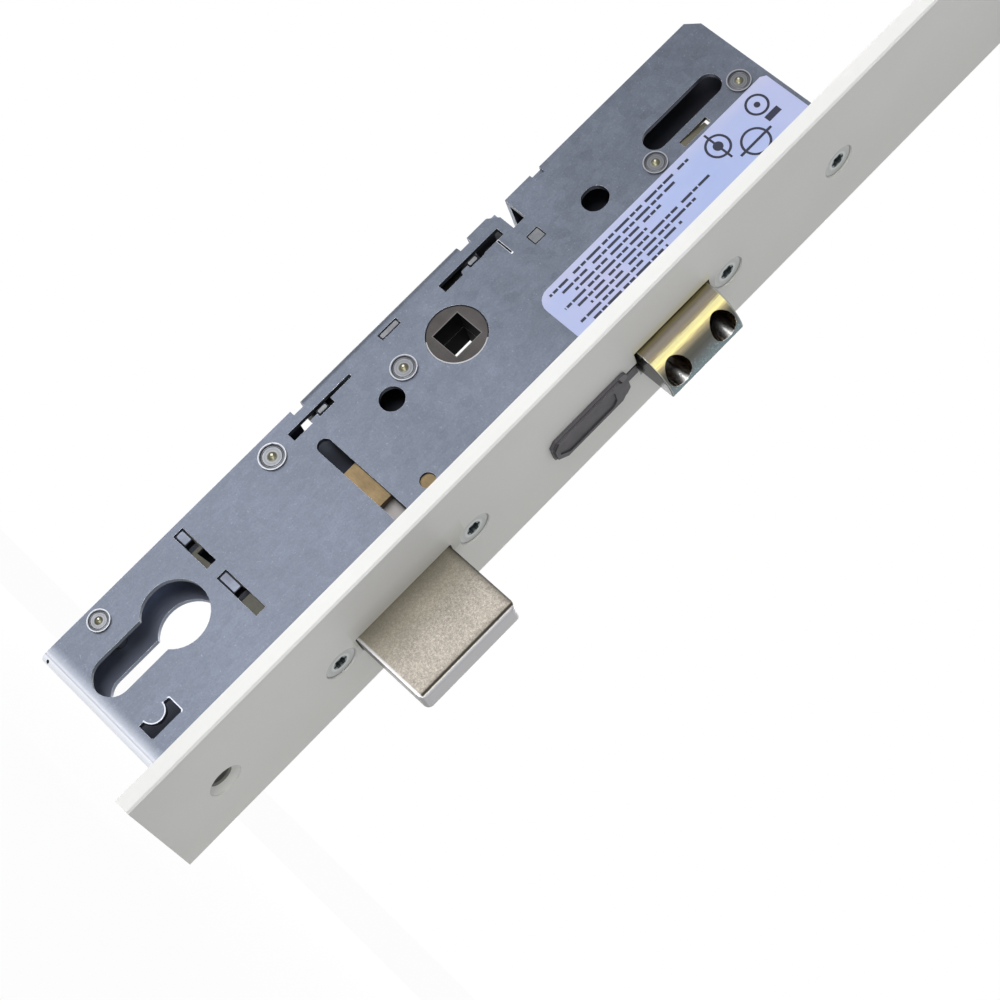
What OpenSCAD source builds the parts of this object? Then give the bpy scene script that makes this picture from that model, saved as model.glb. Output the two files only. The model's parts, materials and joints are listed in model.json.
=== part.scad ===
// Centre section of a multipoint door lock: case with latch, deadbolt, split follower and
// drive slide, on a flat faceplate. Origin at the cylinder axis, +X out of the door edge,
// +Z up along the faceplate, y = 0 in the middle of the case.

/* [Lock] */
// Backset, from the front of the faceplate to the cylinder and spindle axis
backset = 35; // [33:0.5:37]
// Distance from the cylinder axis up to the spindle axis
spindle_height = 92; // [91:0.5:93]

/* [Faceplate] */
// Width of the faceplate
faceplate_width = 44; // [38:1:50]
// Thickness of the faceplate
faceplate_thickness = 4.2; // [3.6:0.1:4.6]
// Distance of the faceplate's middle line from the middle of the case
faceplate_offset = 2.5; // [0:0.5:4]
// Length of the faceplate above the spindle axis
faceplate_top = 158; // [154:1:208]
// Length of the faceplate below the cylinder axis
faceplate_bottom = 38; // [36:1:60]
// Diameter of a faceplate screw's head
screw_head = 9; // [8:0.1:9.6]
// Diameter of a faceplate screw's thread
screw_thread = 5; // [4:0.1:5.4]
// How far the screw heads lie below the faceplate's front
screw_recess = 0.4; // [0.1:0.1:0.8]

/* [Case] */
// Thickness of the case over both plates
case_thickness = 15; // [15:0.1:16]
// Thickness of the case's sheet
sheet = 1.5; // [1.2:0.1:1.6]
// Distance of the case's back edge behind the cylinder axis
case_back = 16.4; // [16.2:0.1:18]
// Height of the case's top edge above the spindle axis
case_top = 97.35; // [97:0.05:100]
// Depth of the case's bottom wall below the cylinder axis
case_bottom = 28.6; // [28.2:0.1:32]
// Outer radius of the folded edges
fold_radius = 2; // [1.8:0.1:2.6]

/* [Cylinder and spindle] */
// Diameter of the round part of the cylinder hole
cylinder_bore = 17.1; // [16.8:0.05:17.4]
// Width of the cylinder hole's slot
cylinder_slot = 10.4; // [10:0.1:10.8]
// Distance from the cylinder axis down to the bottom of its slot
cylinder_depth = 24.9; // [24:0.1:25.4]
// Side of the follower's square hole
spindle_square = 8.1; // [7.9:0.05:8.4]
// Diameter of the follower's round hub
hub_diameter = 15.3; // [14.8:0.1:15.6]
// Diameter of the holes for the handle's fixing screws
fixing_hole = 6.5; // [6:0.1:6.8]

/* [Deadbolt] */
// Height of the deadbolt
deadbolt_height = 30; // [28:0.5:30.4]
// Thickness of the deadbolt
deadbolt_thickness = 7; // [6:0.1:7.2]
// Throw of the deadbolt out of the faceplate
deadbolt_throw = 22; // [20:0.2:22.4]

/* [Latch] */
// Height of the latch head
latch_height = 23.8; // [22:0.2:24.2]
// Thickness of the latch head
latch_thickness = 10.5; // [9.6:0.1:10.6]
// Projection of the latch head
latch_throw = 10.2; // [9:0.1:10.4]
// Distance between the two screws of the latch head
latch_screw_pitch = 15; // [13:0.5:15]
// Diameter of the screw holes sunk in the latch head
latch_screw_hole = 7; // [6.4:0.1:7.2]

/* [Snib slider] */
// Length of the slider's raised body
slider_length = 25; // [22:0.5:26]
// Width of the slider's raised body
slider_width = 9.2; // [8:0.1:10]
// Height of the slider above the faceplate
slider_rise = 1.6; // [1:0.1:2.4]

/* [Drive] */
// Number of teeth on the full pitch circle of the drive follower
gear_teeth = 18; // [18:1:18]
// Pitch radius of the drive follower's toothed sector
gear_radius = 11; // [10.9:0.05:11.1]
// Thickness of the drive bars behind the faceplate
bar_thickness = 3.2; // [2.6:0.1:3.2]
// Width of the drive bars
bar_width = 11; // [10:0.1:11.4]

/* [Hidden] */
$fn = 64;

// Clearances: turning parts, sliding parts, seated parts
turn_gap = 0.05;
slide_gap = 0.3;
seat_gap = 0.05;

// Main planes
outer = case_thickness / 2;
inner = outer - sheet;
front = backset - faceplate_thickness;
back_inner = -case_back + sheet;
cover_back = -case_back - 0.8;
faceplate_mid = -faceplate_offset;
case_end = spindle_height + case_top;
faceplate_end = spindle_height + faceplate_top;
cylinder_screw_row = 6.3 - cylinder_depth;

// Through holes for the handle: round one below the spindle, short and long one above it
low_hole = [0.1, spindle_height - 21.6];
high_hole = [0.3, spindle_height + 46.5];
high_hole_stretch = 0.7;
long_hole_x = 0.2;
long_hole_z = [spindle_height + 67.2, spindle_height + 85.9];

// Rivets that hold the two plates: x, z, head radius
rivets = [[-case_back + 4, -case_bottom + 15.4, 2.9], [-case_back + 5.3, 41.6, 3.5],
    [-3.4, spindle_height - 14.3, 3.4], [5, long_hole_z[0] - 4.8, 3.05], [5.2, long_hole_z[1] + 5.2, 3.05]];
rivet_radius = 2.1;
blind_rivet_height = 0.6;

// Back wall of the cover beside the drive slide, and the two notches above it
back_wall_z = [spindle_height - 36.3, spindle_height + 16];
wall_notch = 3.4;
low_notch_z = [spindle_height + 28.5, spindle_height + 32.4];
high_notch_z = [spindle_height + 41, spindle_height + 44.1];

// Tongue pressed out of the cover beside the label
tongue_z = spindle_height + 70;

// Travel of the drive, and the two bars behind the faceplate
drive_angle = 40;
drive_travel = gear_radius * drive_angle * PI / 180;
bar_gap = 0.3;
bar_x = front - bar_gap - bar_thickness;
upper_bar = [spindle_height + 65.5, faceplate_end - 9];
lower_bar = [-faceplate_bottom + 4, 7];
arm_height = 11;
upper_arm_z = spindle_height + 68;
lower_arm_z = -8;
pin_radius = 1.2;

// Layers inside the case, from the cover to the base
slide_thickness = 1.6;
slide_far = inner - 0.5;
slide_near = slide_far - slide_thickness;
column_x = 10;
column_width = 9.3;
column_neck = 5;
crossing_z = spindle_height + 20.5;
crossing_height = 7.4;

// Gear tooth sizes
gear_module = 2 * gear_radius / gear_teeth;
gear_pitch = PI * gear_module;
gear_rise = 0.9 * gear_module;
gear_root = 1.15 * gear_module;
gear_play = 0.3;
pressure = 20;
sector_teeth = 5;
rack_teeth = 6;
rack_back = back_inner + 0.4;
rack_z = [spindle_height - 37, spindle_height + 19];

// Tabs of the rack guide that show in the cover's slots: left edge and foot
guide_tabs = [[-11.85, spindle_height - 35.65], [-11.8, spindle_height + 14.5]];
guide_tab_size = [1.6, 3.1];
guide_tenon_z = [spindle_height - 12.45, spindle_height - 6.55];
guide_y = [-2.6, -1.3];

// Latch: its lower end, rear face and screws
latch_z = spindle_height + 24.1;
latch_y = 0.1;
latch_rear = backset - 9.2;
latch_mid = latch_z + latch_height / 2;
latch_screw_y = latch_y;
flange = 3;
carrier_near = -inner + 1;
carrier_far = -0.6;
carrier_z = [spindle_height + 28, spindle_height + 41.5];
carrier_left = -4;
nose_reach = 14.9;
nose_radius = 3;
nose_angle = 20;
lug_thickness = 1.5;
lug_foot = spindle_height + 11.6;
spring_window = [1, 20];
spring_row = spindle_height + 33;
spring_window_height = 7.2;
post_radius = 2.4;

// Deadbolt and its lever
deadbolt_z = 24.2;
deadbolt_rear = 15.3;
deadbolt_tip = backset + deadbolt_throw;
lever_travel = deadbolt_throw - 0.2;
lever_swing = 60;
lever_reach = lever_travel / (2 * sin(lever_swing / 2));
lever_pin_x = 19;
lever_pin = 2.2;
lever_axis = [lever_pin_x - lever_travel / 2, 62];
lever_pin_z = lever_axis[1] - lever_reach * cos(lever_swing / 2);
lever_near = -inner + 0.3;
lever_far = -deadbolt_thickness / 2 - 0.35;
lever_eye = 4.5;
lever_bore = 1.6;
lever_slot_z = deadbolt_z + deadbolt_height - 2.5;

// Rows of faceplate screws, and their blocks along x with the tenons that show in the cover
screw_rows = [deadbolt_z - 6, deadbolt_z + deadbolt_height + 7.2,
    latch_z + latch_height + 6.5, case_end - 4.85];
screw_block_x = [bar_x - 7.3, bar_x - 0.4];
screw_block_half = 4.3;
spigot = [bar_x - 5.9, screw_rows[1] + 0.2];
tenon_x = [bar_x - 3.4, bar_x - 0.7];
tenon_height = 4.2;

// Tumbler that the key's cam lifts off: its row, travel, planes, end, and its spring
tumbler_row = 13.85;
tumbler_travel = 7.5;
tumbler_near = -inner + 0.2;
tumbler_far = -inner + 1.4;
tumbler_end = 15.4;
tumbler_lug_x = [8.1, 9.2];
tumbler_spring_z = 10.9;
tumbler_spring_y = tumbler_far + 1.4;
tumbler_post_x = tumbler_lug_x[1] + tumbler_travel + 4.3;
window_half = 1.5;

// Slider on the faceplate
slider_z = latch_z - 4.7 - slider_length;
slider_y = 0.9;
slider_travel = 4;
neck_width = 3.6;
neck_y = 1.1;
neck_foot = slider_z + 8;

// Label on the cover: its left edge and its rows
label_x = 8.35;
label_z = [spindle_height + 17.9, case_end - 1.05];
label_depth = 0.12;

function inv(a) = tan(a) * 180 / PI - a;
function polar(r, a) = [r * cos(a), r * sin(a)];
function tooth_half(r, base, at_pitch) = at_pitch + inv(pressure) - inv(acos(min(1, base / r)));

// Turns a drawing in x and z into a plate between two y values
module plate(y0, y1) {
    translate([0, y1, 0]) rotate([90, 0, 0]) linear_extrude(y1 - y0) children();
}

module bar_y(x, z, radius, y0, y1) {
    translate([x, y1, z]) rotate([90, 0, 0]) cylinder(r = radius, h = y1 - y0);
}

module bar_x_axis(x0, x1, y, z, radius) {
    translate([x0, y, z]) rotate([0, 90, 0]) cylinder(r = radius, h = x1 - x0);
}

module block(x, y, z) {
    translate([x[0], y[0], z[0]]) cube([x[1] - x[0], y[1] - y[0], z[1] - z[0]]);
}

module box_2d(x, z) {
    translate([x[0], z[0]]) square([x[1] - x[0], z[1] - z[0]]);
}

module stadium_z(x, z, radius) {
    for (end = z) translate([x, end]) circle(radius);
    box_2d([x - radius, x + radius], z);
}

// Drawing of the cylinder hole
module cylinder_profile() {
    circle(cylinder_bore / 2);
    stadium_z(0, [-cylinder_depth + cylinder_slot / 2, -1], cylinder_slot / 2);
}

// Drawing of the holes that pass through both plates
module through_holes() {
    cylinder_profile();
    translate([0, spindle_height]) circle(hub_diameter / 2 + turn_gap);
    translate(low_hole) circle(fixing_hole / 2);
    stadium_z(high_hole[0], [high_hole[1] - high_hole_stretch / 2, high_hole[1] + high_hole_stretch / 2],
        fixing_hole / 2);
    stadium_z(long_hole_x, long_hole_z, fixing_hole / 2 - 0.1);
    for (r = rivets) translate([r[0], r[1]]) circle(rivet_radius + seat_gap);
}

// Hook-shaped hole in front of the cylinder's slot, round a disc of the sheet
module hook_hole() {
    left = 13.8;
    right = 18.6;
    foot = -23.6;
    top = -14.3;
    corner = 0.4;
    difference() {
        polygon([[left, foot], [right - corner, foot], [right, foot + corner], [right, top - corner],
            [right - corner, top], [left + corner, top], [left, top - corner]]);
        translate([13.5, -19.1]) circle(3.1);
    }
}

// Slot round a tab of the rack guide, with the nib of sheet below the tab; above it the slot is
// as wide as wanted
module tab_slot(tab, wide, high) {
    right = guide_tab_size[0] + 0.3;
    translate(tab) polygon([[-0.75, -8.45], [right - 0.1, -8.45], [right - 0.1, -2.6], [0.85, -2.2],
        [0.85, -0.15], [right, -0.15], [right, 4.7], [wide - 0.75, 4.7], [wide - 0.75, high], [-0.75, high]]);
}

// Drawing of the windows that only the cover has
module cover_windows() {
    hook_hole();
    box_2d([-14.5, -2.4], [tumbler_row - window_half, tumbler_row + window_half]);
    box_2d([1.1, 15], [tumbler_row - window_half, tumbler_row + window_half]);
    tab_slot(guide_tabs[0], 1, 11.85);
    tab_slot(guide_tabs[1], 2.4, 11.3);
    box_2d([-10, -5.2], [spindle_height + 23.35, spindle_height + 23.85]);
    box_2d([-14.55, -12.55], [guide_tenon_z[0] - 0.1, guide_tenon_z[1] + 0.1]);
    box_2d([5.5, 7.5], [tongue_z, tongue_z + 9]);
    box_2d([-5.4, -2.1], [low_notch_z[0] + 0.1, low_notch_z[1]]);
    translate(spigot) circle(2);
    // Slot that shows the deadbolt's lever
    lever_slot = 1.95;
    translate([-3.5, lever_slot_z]) circle(lever_slot);
    box_2d([-3.5, bar_x - 0.3], [lever_slot_z - lever_slot, lever_slot_z + lever_slot]);
}

// Outline of the cover, with the relief notches at its folded edge
module cover_outline() {
    wall = back_wall_z;
    notch_x = -case_back + 1.4;
    polygon([[front, -case_bottom + fold_radius], [-case_back, -case_bottom + fold_radius],
        [-case_back, wall[0] - wall_notch], [notch_x, wall[0] - wall_notch], [notch_x, wall[0]],
        [cover_back + fold_radius, wall[0]], [cover_back + fold_radius, wall[1]], [notch_x, wall[1]],
        [notch_x, wall[1] + wall_notch], [-case_back, wall[1] + wall_notch], [-case_back, low_notch_z[0] - 2.5],
        [-case_back + 2.4, low_notch_z[0]], [-9.4, low_notch_z[0]], [-9.4, low_notch_z[1]],
        [-case_back, low_notch_z[1]], [-case_back, high_notch_z[0]], [-case_back + 1.9, high_notch_z[0]],
        [-case_back + 1.9, high_notch_z[1]], [-case_back, high_notch_z[1]], [-case_back, case_end - 2.75],
        [-case_back + 3.2, case_end], [front, case_end]]);
}

// Folded corner drawn in a plane: the sheet turns from one plate into a wall
module fold_2d(depth) {
    lap = 0.5;
    corner = [fold_radius, fold_radius];
    polygon(concat([[fold_radius + lap, sheet], [fold_radius + lap, 0]],
        [for (a = [270:-15:180]) corner + polar(fold_radius, a)],
        [[0, depth], [sheet, depth]],
        [for (a = [180:15:270]) corner + polar(fold_radius - sheet, a)]));
}

module case_cover() {
    color([0.62, 0.65, 0.69]) difference() {
        union() {
            plate(-outer, -inner) cover_outline();
            // Bottom wall
            translate([-case_back, -outer, -case_bottom]) rotate([90, 0, 90])
                linear_extrude(bar_x - 0.4 + case_back) mirror([1, -1]) fold_2d(outer + inner);
            // Back wall beside the drive slide
            translate([cover_back, -outer, back_wall_z[0]]) linear_extrude(back_wall_z[1] - back_wall_z[0])
                fold_2d(2 * outer);
        }
        plate(-outer - 1, -inner + 0.5) union() {
            through_holes();
            cover_windows();
        }
        // Recess for the tenons of the screw blocks
        for (row = screw_rows)
            block(tenon_x, [-outer - 1, -inner + 0.01], [row - tenon_height / 2, row + tenon_height / 2]);
    }
    // Tongue pressed inwards beside the label
    color([0.6, 0.58, 0.48]) translate([5.7, -outer, tongue_z]) rotate([90, 0, 90]) linear_extrude(1.6)
        polygon([[0.3, -0.6], [1.2, -0.6], [1.2, 0.3], [2.1, 8.2], [1.3, 8.2], [0.3, 0.5]]);
}

module base_outline() {
    step_x = cover_back + sheet + seat_gap;
    step_z = [back_wall_z[0] - 0.7, back_wall_z[1] + 0.6];
    floor_z = -case_bottom + sheet + 0.1;
    polygon([[front, floor_z], [-case_back, floor_z], [-case_back, step_z[0]], [step_x, step_z[0]],
        [step_x, step_z[1]], [-case_back, step_z[1]], [-case_back, low_notch_z[0]], [-9.4, low_notch_z[0]],
        [-9.4, low_notch_z[1]], [-case_back, low_notch_z[1]], [-case_back, case_end], [front, case_end]]);
}

module case_base() {
    color([0.6, 0.63, 0.67]) difference() {
        union() {
            plate(inner, outer) base_outline();
            for (z = [[-case_bottom + fold_radius, back_wall_z[0] - wall_notch],
                [back_wall_z[1] + wall_notch, low_notch_z[0]], [low_notch_z[1], case_end - 2.75]])
                block([-case_back, back_inner], [-inner, outer], z);
            block([-case_back + 3, bar_x - 0.4], [-inner, outer], [case_end - sheet, case_end]);
        }
        plate(inner - 1, outer + 1) through_holes();
        for (row = screw_rows)
            block(tenon_x, [inner - 0.01, outer + 1], [row - tenon_height / 2, row + tenon_height / 2]);
    }
}

// Riveted head: a ring with a groove round a domed middle
module rivet_head(radius) {
    rotate_extrude() difference() {
        union() {
            square([radius, blind_rivet_height * 0.55]);
            translate([radius - 0.5, 0]) square([0.5, blind_rivet_height]);
            intersection() {
                translate([0, -1.4]) circle(2.1);
                square([2, 1]);
            }
        }
        translate([radius * 0.76, blind_rivet_height * 0.75]) circle(0.28);
    }
}

module case_rivets() {
    color([0.78, 0.79, 0.8]) for (r = rivets) {
        bar_y(r[0], r[1], rivet_radius, -outer, outer);
        translate([r[0], -outer, r[1]]) rotate([90, 0, 0]) rivet_head(r[2]);
        translate([r[0], outer, r[1]]) rotate([-90, 0, 0]) rivet_head(r[2]);
    }
}

// Drawing of the latch's opening in the faceplate, in y and z
module latch_opening() {
    translate([latch_y - latch_thickness / 2 - slide_gap, latch_z - 0.7])
        square([latch_thickness + 2 * slide_gap, latch_height + 1.4]);
}

module countersunk_hole(row) {
    bar_x_axis(front - 1, backset + 1, 0, row, screw_thread / 2 + 0.25);
    head_radius = screw_head / 2 + 0.1;
    translate([backset - screw_recess, 0, row]) rotate([0, -90, 0])
        cylinder(r1 = head_radius, r2 = 0, h = head_radius);
    bar_x_axis(backset - screw_recess - 0.01, backset + 1, 0, row, head_radius);
}

module faceplate() {
    color([0.9, 0.9, 0.88]) difference() {
        translate([0, faceplate_mid, -faceplate_bottom]) linear_extrude(faceplate_end + faceplate_bottom)
            polygon([[front, -faceplate_width / 2], [backset - 0.5, -faceplate_width / 2],
                [backset, -faceplate_width / 2 + 0.5], [backset, faceplate_width / 2 - 0.5],
                [backset - 0.5, faceplate_width / 2], [front, faceplate_width / 2]]);
        // Openings for the deadbolt, the latch and the slider's neck
        block([front - 1, backset + 1], [-deadbolt_thickness / 2 - 0.15, deadbolt_thickness / 2 + 0.15],
            [deadbolt_z - 0.3, deadbolt_z + deadbolt_height + 0.3]);
        translate([front - 1, 0, 0]) rotate([90, 0, 90]) linear_extrude(faceplate_thickness + 2)
            latch_opening();
        neck_side = neck_width / 2 + slide_gap;
        block([front - 1, backset + 1], [neck_y - neck_side, neck_y + neck_side],
            [neck_foot - slider_travel - 0.4, latch_z]);
        for (row = screw_rows) countersunk_hole(row);
        countersunk_hole(cylinder_screw_row);
    }
}

module faceplate_screws() {
    head_radius = screw_head / 2;
    color([0.72, 0.74, 0.76]) for (row = screw_rows) difference() {
        union() {
            translate([backset - screw_recess, 0, row]) rotate([0, -90, 0])
                cylinder(r1 = head_radius, r2 = screw_thread / 2, h = head_radius - screw_thread / 2);
            bar_x_axis(screw_block_x[0] + 0.6, backset - screw_recess - 1.5, 0, row, screw_thread / 2);
        }
        // Six-lobed drive
        translate([backset - screw_recess - 1.6, 0, row]) rotate([0, 90, 0]) linear_extrude(3) union() {
            circle(1.45);
            for (lobe = [0:5]) rotate(lobe * 60) translate([1.5, 0]) circle(0.45);
        }
    }
}

// Block that takes a faceplate screw; its side is stepped back for the tumbler
module screw_block(row, above) {
    tenon_half = tenon_height / 2 - seat_gap;
    difference() {
        union() {
            block(screw_block_x, [tumbler_far + 0.3, inner], [row - screw_block_half, row + above]);
            block([tenon_x[0] - 0.5, screw_block_x[1]], [-inner, tumbler_far + 0.4],
                [row - screw_block_half, row + above]);
            block([tenon_x[0] + seat_gap, tenon_x[1] - seat_gap], [-outer + 0.1, outer - 0.1],
                [row - tenon_half, row + tenon_half]);
        }
        bar_x_axis(screw_block_x[0] - 1, screw_block_x[1] + 1, 0, row, screw_thread / 2 + turn_gap);
    }
}

module screw_blocks() {
    color([0.78, 0.66, 0.4]) union() {
        for (k = [0:2]) screw_block(screw_rows[k], screw_block_half);
        screw_block(screw_rows[3], 3);
        // Spigot in the cover's round hole
        bar_y(spigot[0], spigot[1], 1.9, -outer + 0.6, tumbler_far + 0.5);
    }
}

module info_label() {
    corner = 4;
    right = front - 2.8;
    color([0.68, 0.72, 0.87]) plate(-outer - label_depth, -outer) polygon(concat([[right, label_z[0]]],
        [for (a = [0:15:90]) [label_x + corner, label_z[0] + corner] + polar(corner, 270 - a)],
        [[label_x, label_z[1] - 1.3], [label_x + 0.95, label_z[1]], [right, label_z[1]]]));
}

// Thin bracket that carries the latch carrier's rear, with its tab bent up through the cover
module latch_stop_bracket() {
    color([0.3, 0.31, 0.33]) block([-9.7, -1.6], [-inner, -inner + 0.7],
        [low_notch_z[0] - 1.5, low_notch_z[1] + 1.6]);
    color([0.7, 0.72, 0.74]) block([-5.1, -2.4], [-outer + 0.1, -inner],
        [low_notch_z[0] + 0.4, low_notch_z[1] - 0.3]);
}

// Plate that keeps the rack in mesh, with a tenon and two tabs in the cover
module rack_guide() {
    color([0.66, 0.68, 0.7]) union() {
        block([back_inner + 0.1, guide_tabs[0][0] + guide_tab_size[0]], guide_y,
            [guide_tabs[0][1] - 1.8, guide_tabs[1][1] + 4.5]);
        block([-14.45, -12.65], [-outer + 0.1, guide_y[0] + 0.1], guide_tenon_z);
        for (tab = guide_tabs) block([tab[0], tab[0] + guide_tab_size[0]], [-outer + 0.15, guide_y[0] + 0.1],
            [tab[1], tab[1] + guide_tab_size[1]]);
    }
}

module lever_pivot() {
    color([0.7, 0.7, 0.7]) union() {
        bar_y(lever_axis[0], lever_axis[1], lever_bore, -inner, lever_far + 0.1);
        bar_y(lever_axis[0], lever_axis[1], 2.4, lever_far + 0.1, lever_far + 0.9);
    }
}

module latch_spring_post() {
    color([0.7, 0.7, 0.7]) bar_y(4, spring_row, post_radius, -inner, 2.4);
}

module tumbler_spring_post() {
    color([0.7, 0.7, 0.7]) block([tumbler_post_x, tumbler_post_x + 1.4], [-inner, tumbler_spring_y + 1.3],
        [tumbler_spring_z - 1.1, tumbler_spring_z + 1.1]);
}

// Compression spring along x: one wire wound as a helix between two x values
coil_sides = 6;
coil_steps = 8;
function coil_point(s, radius, wire, x0, x1, turns) =
    let (turn = s / coil_steps, pitch = (x1 - x0 - 2 * wire) / turns, a = 360 * turn,
        lean = atan(pitch / (2 * PI * radius)))
    [for (k = [0:coil_sides - 1]) let (b = 360 * k / coil_sides, out = wire * cos(b), side = wire * sin(b))
        [x0 + wire + pitch * turn + side * cos(lean),
            (radius + out) * cos(a) + side * sin(lean) * sin(a),
            (radius + out) * sin(a) - side * sin(lean) * cos(a)]];

module coil(x0, x1, radius, wire, turns) {
    steps = turns * coil_steps;
    n = coil_sides;
    rings = [for (s = [0:steps]) each coil_point(s, radius, wire, x0, x1, turns)];
    sides = [for (s = [0:steps - 1], k = [0:n - 1]) let (a = s * n + k, b = s * n + (k + 1) % n)
        each [[a, a + n, b], [b, a + n, b + n]]];
    caps = [for (k = [1:n - 2]) each [[0, k, k + 1], [steps * n, steps * n + k + 1, steps * n + k]]];
    polyhedron(points = rings, faces = concat(sides, caps));
}

latch_coils = 8;
tumbler_coils = 6;
wire_radius = 0.35;
echo(latch_spring_gap = (spring_window[1] - 4 - post_radius - 2 * wire_radius) / latch_coils - 2 * wire_radius);

module latch_spring() {
    color([0.75, 0.75, 0.76]) translate([0, (carrier_near + carrier_far) / 2, spring_row])
        coil(4 + post_radius + 0.1, spring_window[1] - 0.1, 2.2, wire_radius, latch_coils);
}

module tumbler_spring() {
    color([0.75, 0.75, 0.76]) translate([0, tumbler_spring_y, tumbler_spring_z])
        coil(tumbler_lug_x[1] + 0.05, tumbler_post_x - 0.05, 0.95, 0.25, tumbler_coils);
}

// One tooth space short of a full gear: the sector's teeth, drawn round the spindle axis
module gear_sector() {
    base = gear_radius * cos(pressure);
    half = 90 / gear_teeth - gear_play / gear_radius * 45 / PI;
    root = gear_radius - gear_root;
    tip = gear_radius + gear_rise;
    radii = [for (s = [0:5]) max(base, root) + (tip - max(base, root)) * s / 5];
    for (k = [-(sector_teeth - 1) / 2:(sector_teeth - 1) / 2]) rotate(180 + k * 360 / gear_teeth)
        polygon(concat([polar(root - 1, -tooth_half(base, base, half))],
            [for (r = radii) polar(r, -tooth_half(r, base, half))],
            [for (s = [5:-1:0]) polar(radii[s], tooth_half(radii[s], base, half))],
            [polar(root - 1, tooth_half(base, base, half))]));
    sweep = (sector_teeth / 2 + 0.2) * 360 / gear_teeth;
    intersection() {
        circle(root);
        polygon(concat([[0, 0]], [for (a = [-sweep:sweep / 4:sweep]) polar(2 * root, 180 + a)]));
    }
    circle(hub_diameter / 2 + 0.9);
}

module spindle_hole() {
    square(spindle_square, center = true);
}

module drive_follower() {
    color([0.42, 0.4, 0.38]) translate([0, 0, spindle_height]) difference() {
        union() {
            plate(0.15, slide_far) gear_sector();
            plate(0.15, outer - 0.1) circle(hub_diameter / 2);
        }
        plate(-1, outer + 1) spindle_hole();
    }
}

module latch_follower() {
    color([0.42, 0.4, 0.38]) translate([0, 0, spindle_height]) difference() {
        union() {
            plate(-outer + 0.1, -0.15) circle(hub_diameter / 2);
            plate(carrier_near, carrier_far) union() {
                circle(hub_diameter / 2 + 0.9);
                // Arm with the rounded nose that pushes the latch carrier
                rotate(-nose_angle) union() {
                    translate([0, nose_reach]) circle(nose_radius);
                    polygon([[-1.8, 5], [-1.8, nose_reach], [nose_radius, nose_reach], [6, 5]]);
                }
            }
        }
        plate(-outer - 1, 1) spindle_hole();
    }
}

// Teeth of the rack, with a space in line with the spindle
module rack_2d() {
    box_2d([rack_back, -gear_radius - gear_root], rack_z);
    half = gear_pitch / 4 - gear_play / 2;
    root_half = half + gear_root * tan(pressure);
    tip_half = half - gear_rise * tan(pressure);
    for (k = [-rack_teeth / 2:rack_teeth / 2 - 1])
        translate([-gear_radius, spindle_height + (k + 0.5) * gear_pitch])
        polygon([[-gear_root - 0.01, -root_half], [gear_rise, -tip_half], [gear_rise, tip_half],
            [-gear_root - 0.01, root_half]]);
}

module drive_slide() {
    color([0.55, 0.56, 0.57]) difference() {
        union() {
            plate(slide_near, slide_far) union() {
                // Column past both bolts, with a waist behind the latch
                box_2d([column_x, column_x + column_width], [lower_arm_z, crossing_z - 8]);
                box_2d([column_x, column_x + column_neck], [crossing_z - 9, upper_arm_z]);
                box_2d([column_x, front - bar_gap], [upper_arm_z, upper_arm_z + arm_height]);
                box_2d([column_x, front - bar_gap], [lower_arm_z, lower_arm_z + arm_height]);
                // Crossing above the follower
                box_2d([rack_back, column_x + 1], [crossing_z, crossing_z + crossing_height]);
                box_2d([rack_back, -gear_radius - gear_root], [rack_z[0], crossing_z + 1]);
            }
            plate(guide_y[1] + 0.3, slide_far) rack_2d();
        }
        for (z = [upper_arm_z, lower_arm_z])
            bar_y(bar_x + bar_thickness / 2, z + arm_height / 2, pin_radius + seat_gap, -inner, inner);
        // Grooves for the rivets
        for (r = rivets) bar_y(r[0], r[1], rivet_radius + 0.5, -1, inner);
    }
}

// Flat bar behind the faceplate, with a slot for each screw row and a notch for the slide's arm
module drive_bar(z, slot_row, arm_z, end_z, direction) {
    color([0.68, 0.69, 0.7]) difference() {
        block([bar_x, bar_x + bar_thickness], [-bar_width / 2, bar_width / 2], z);
        block([bar_x - 1, bar_x + bar_thickness + 1], [slide_near - 0.2, bar_width],
            [arm_z - 0.2, arm_z + arm_height + 0.2]);
        translate([bar_x - 1, 0, 0]) rotate([90, 0, 90]) linear_extrude(bar_thickness + 2)
            stadium_z(0, [slot_row - drive_travel, slot_row + drive_travel], screw_thread / 2 + 0.4);
        bar_y(bar_x + bar_thickness / 2, arm_z + arm_height / 2, pin_radius + seat_gap, -bar_width, bar_width);
        // Coupling notches at the free end
        for (k = [0:3]) block([bar_x + bar_thickness - 1.2, bar_x + bar_thickness + 1], [-bar_width, bar_width],
            [end_z + direction * (2 + 3 * k) - 0.7, end_z + direction * (2 + 3 * k) + 0.7]);
    }
}

module upper_drive_bar() {
    drive_bar(upper_bar, screw_rows[3], upper_arm_z, upper_bar[1], -1);
}

module lower_drive_bar() {
    drive_bar(lower_bar, cylinder_screw_row, lower_arm_z, lower_bar[0] - 1.2, 1);
}

module bar_pins() {
    color([0.75, 0.75, 0.76]) for (z = [upper_arm_z, lower_arm_z])
        bar_y(bar_x + bar_thickness / 2, z + arm_height / 2, pin_radius, -bar_width / 2, slide_far);
}

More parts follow.
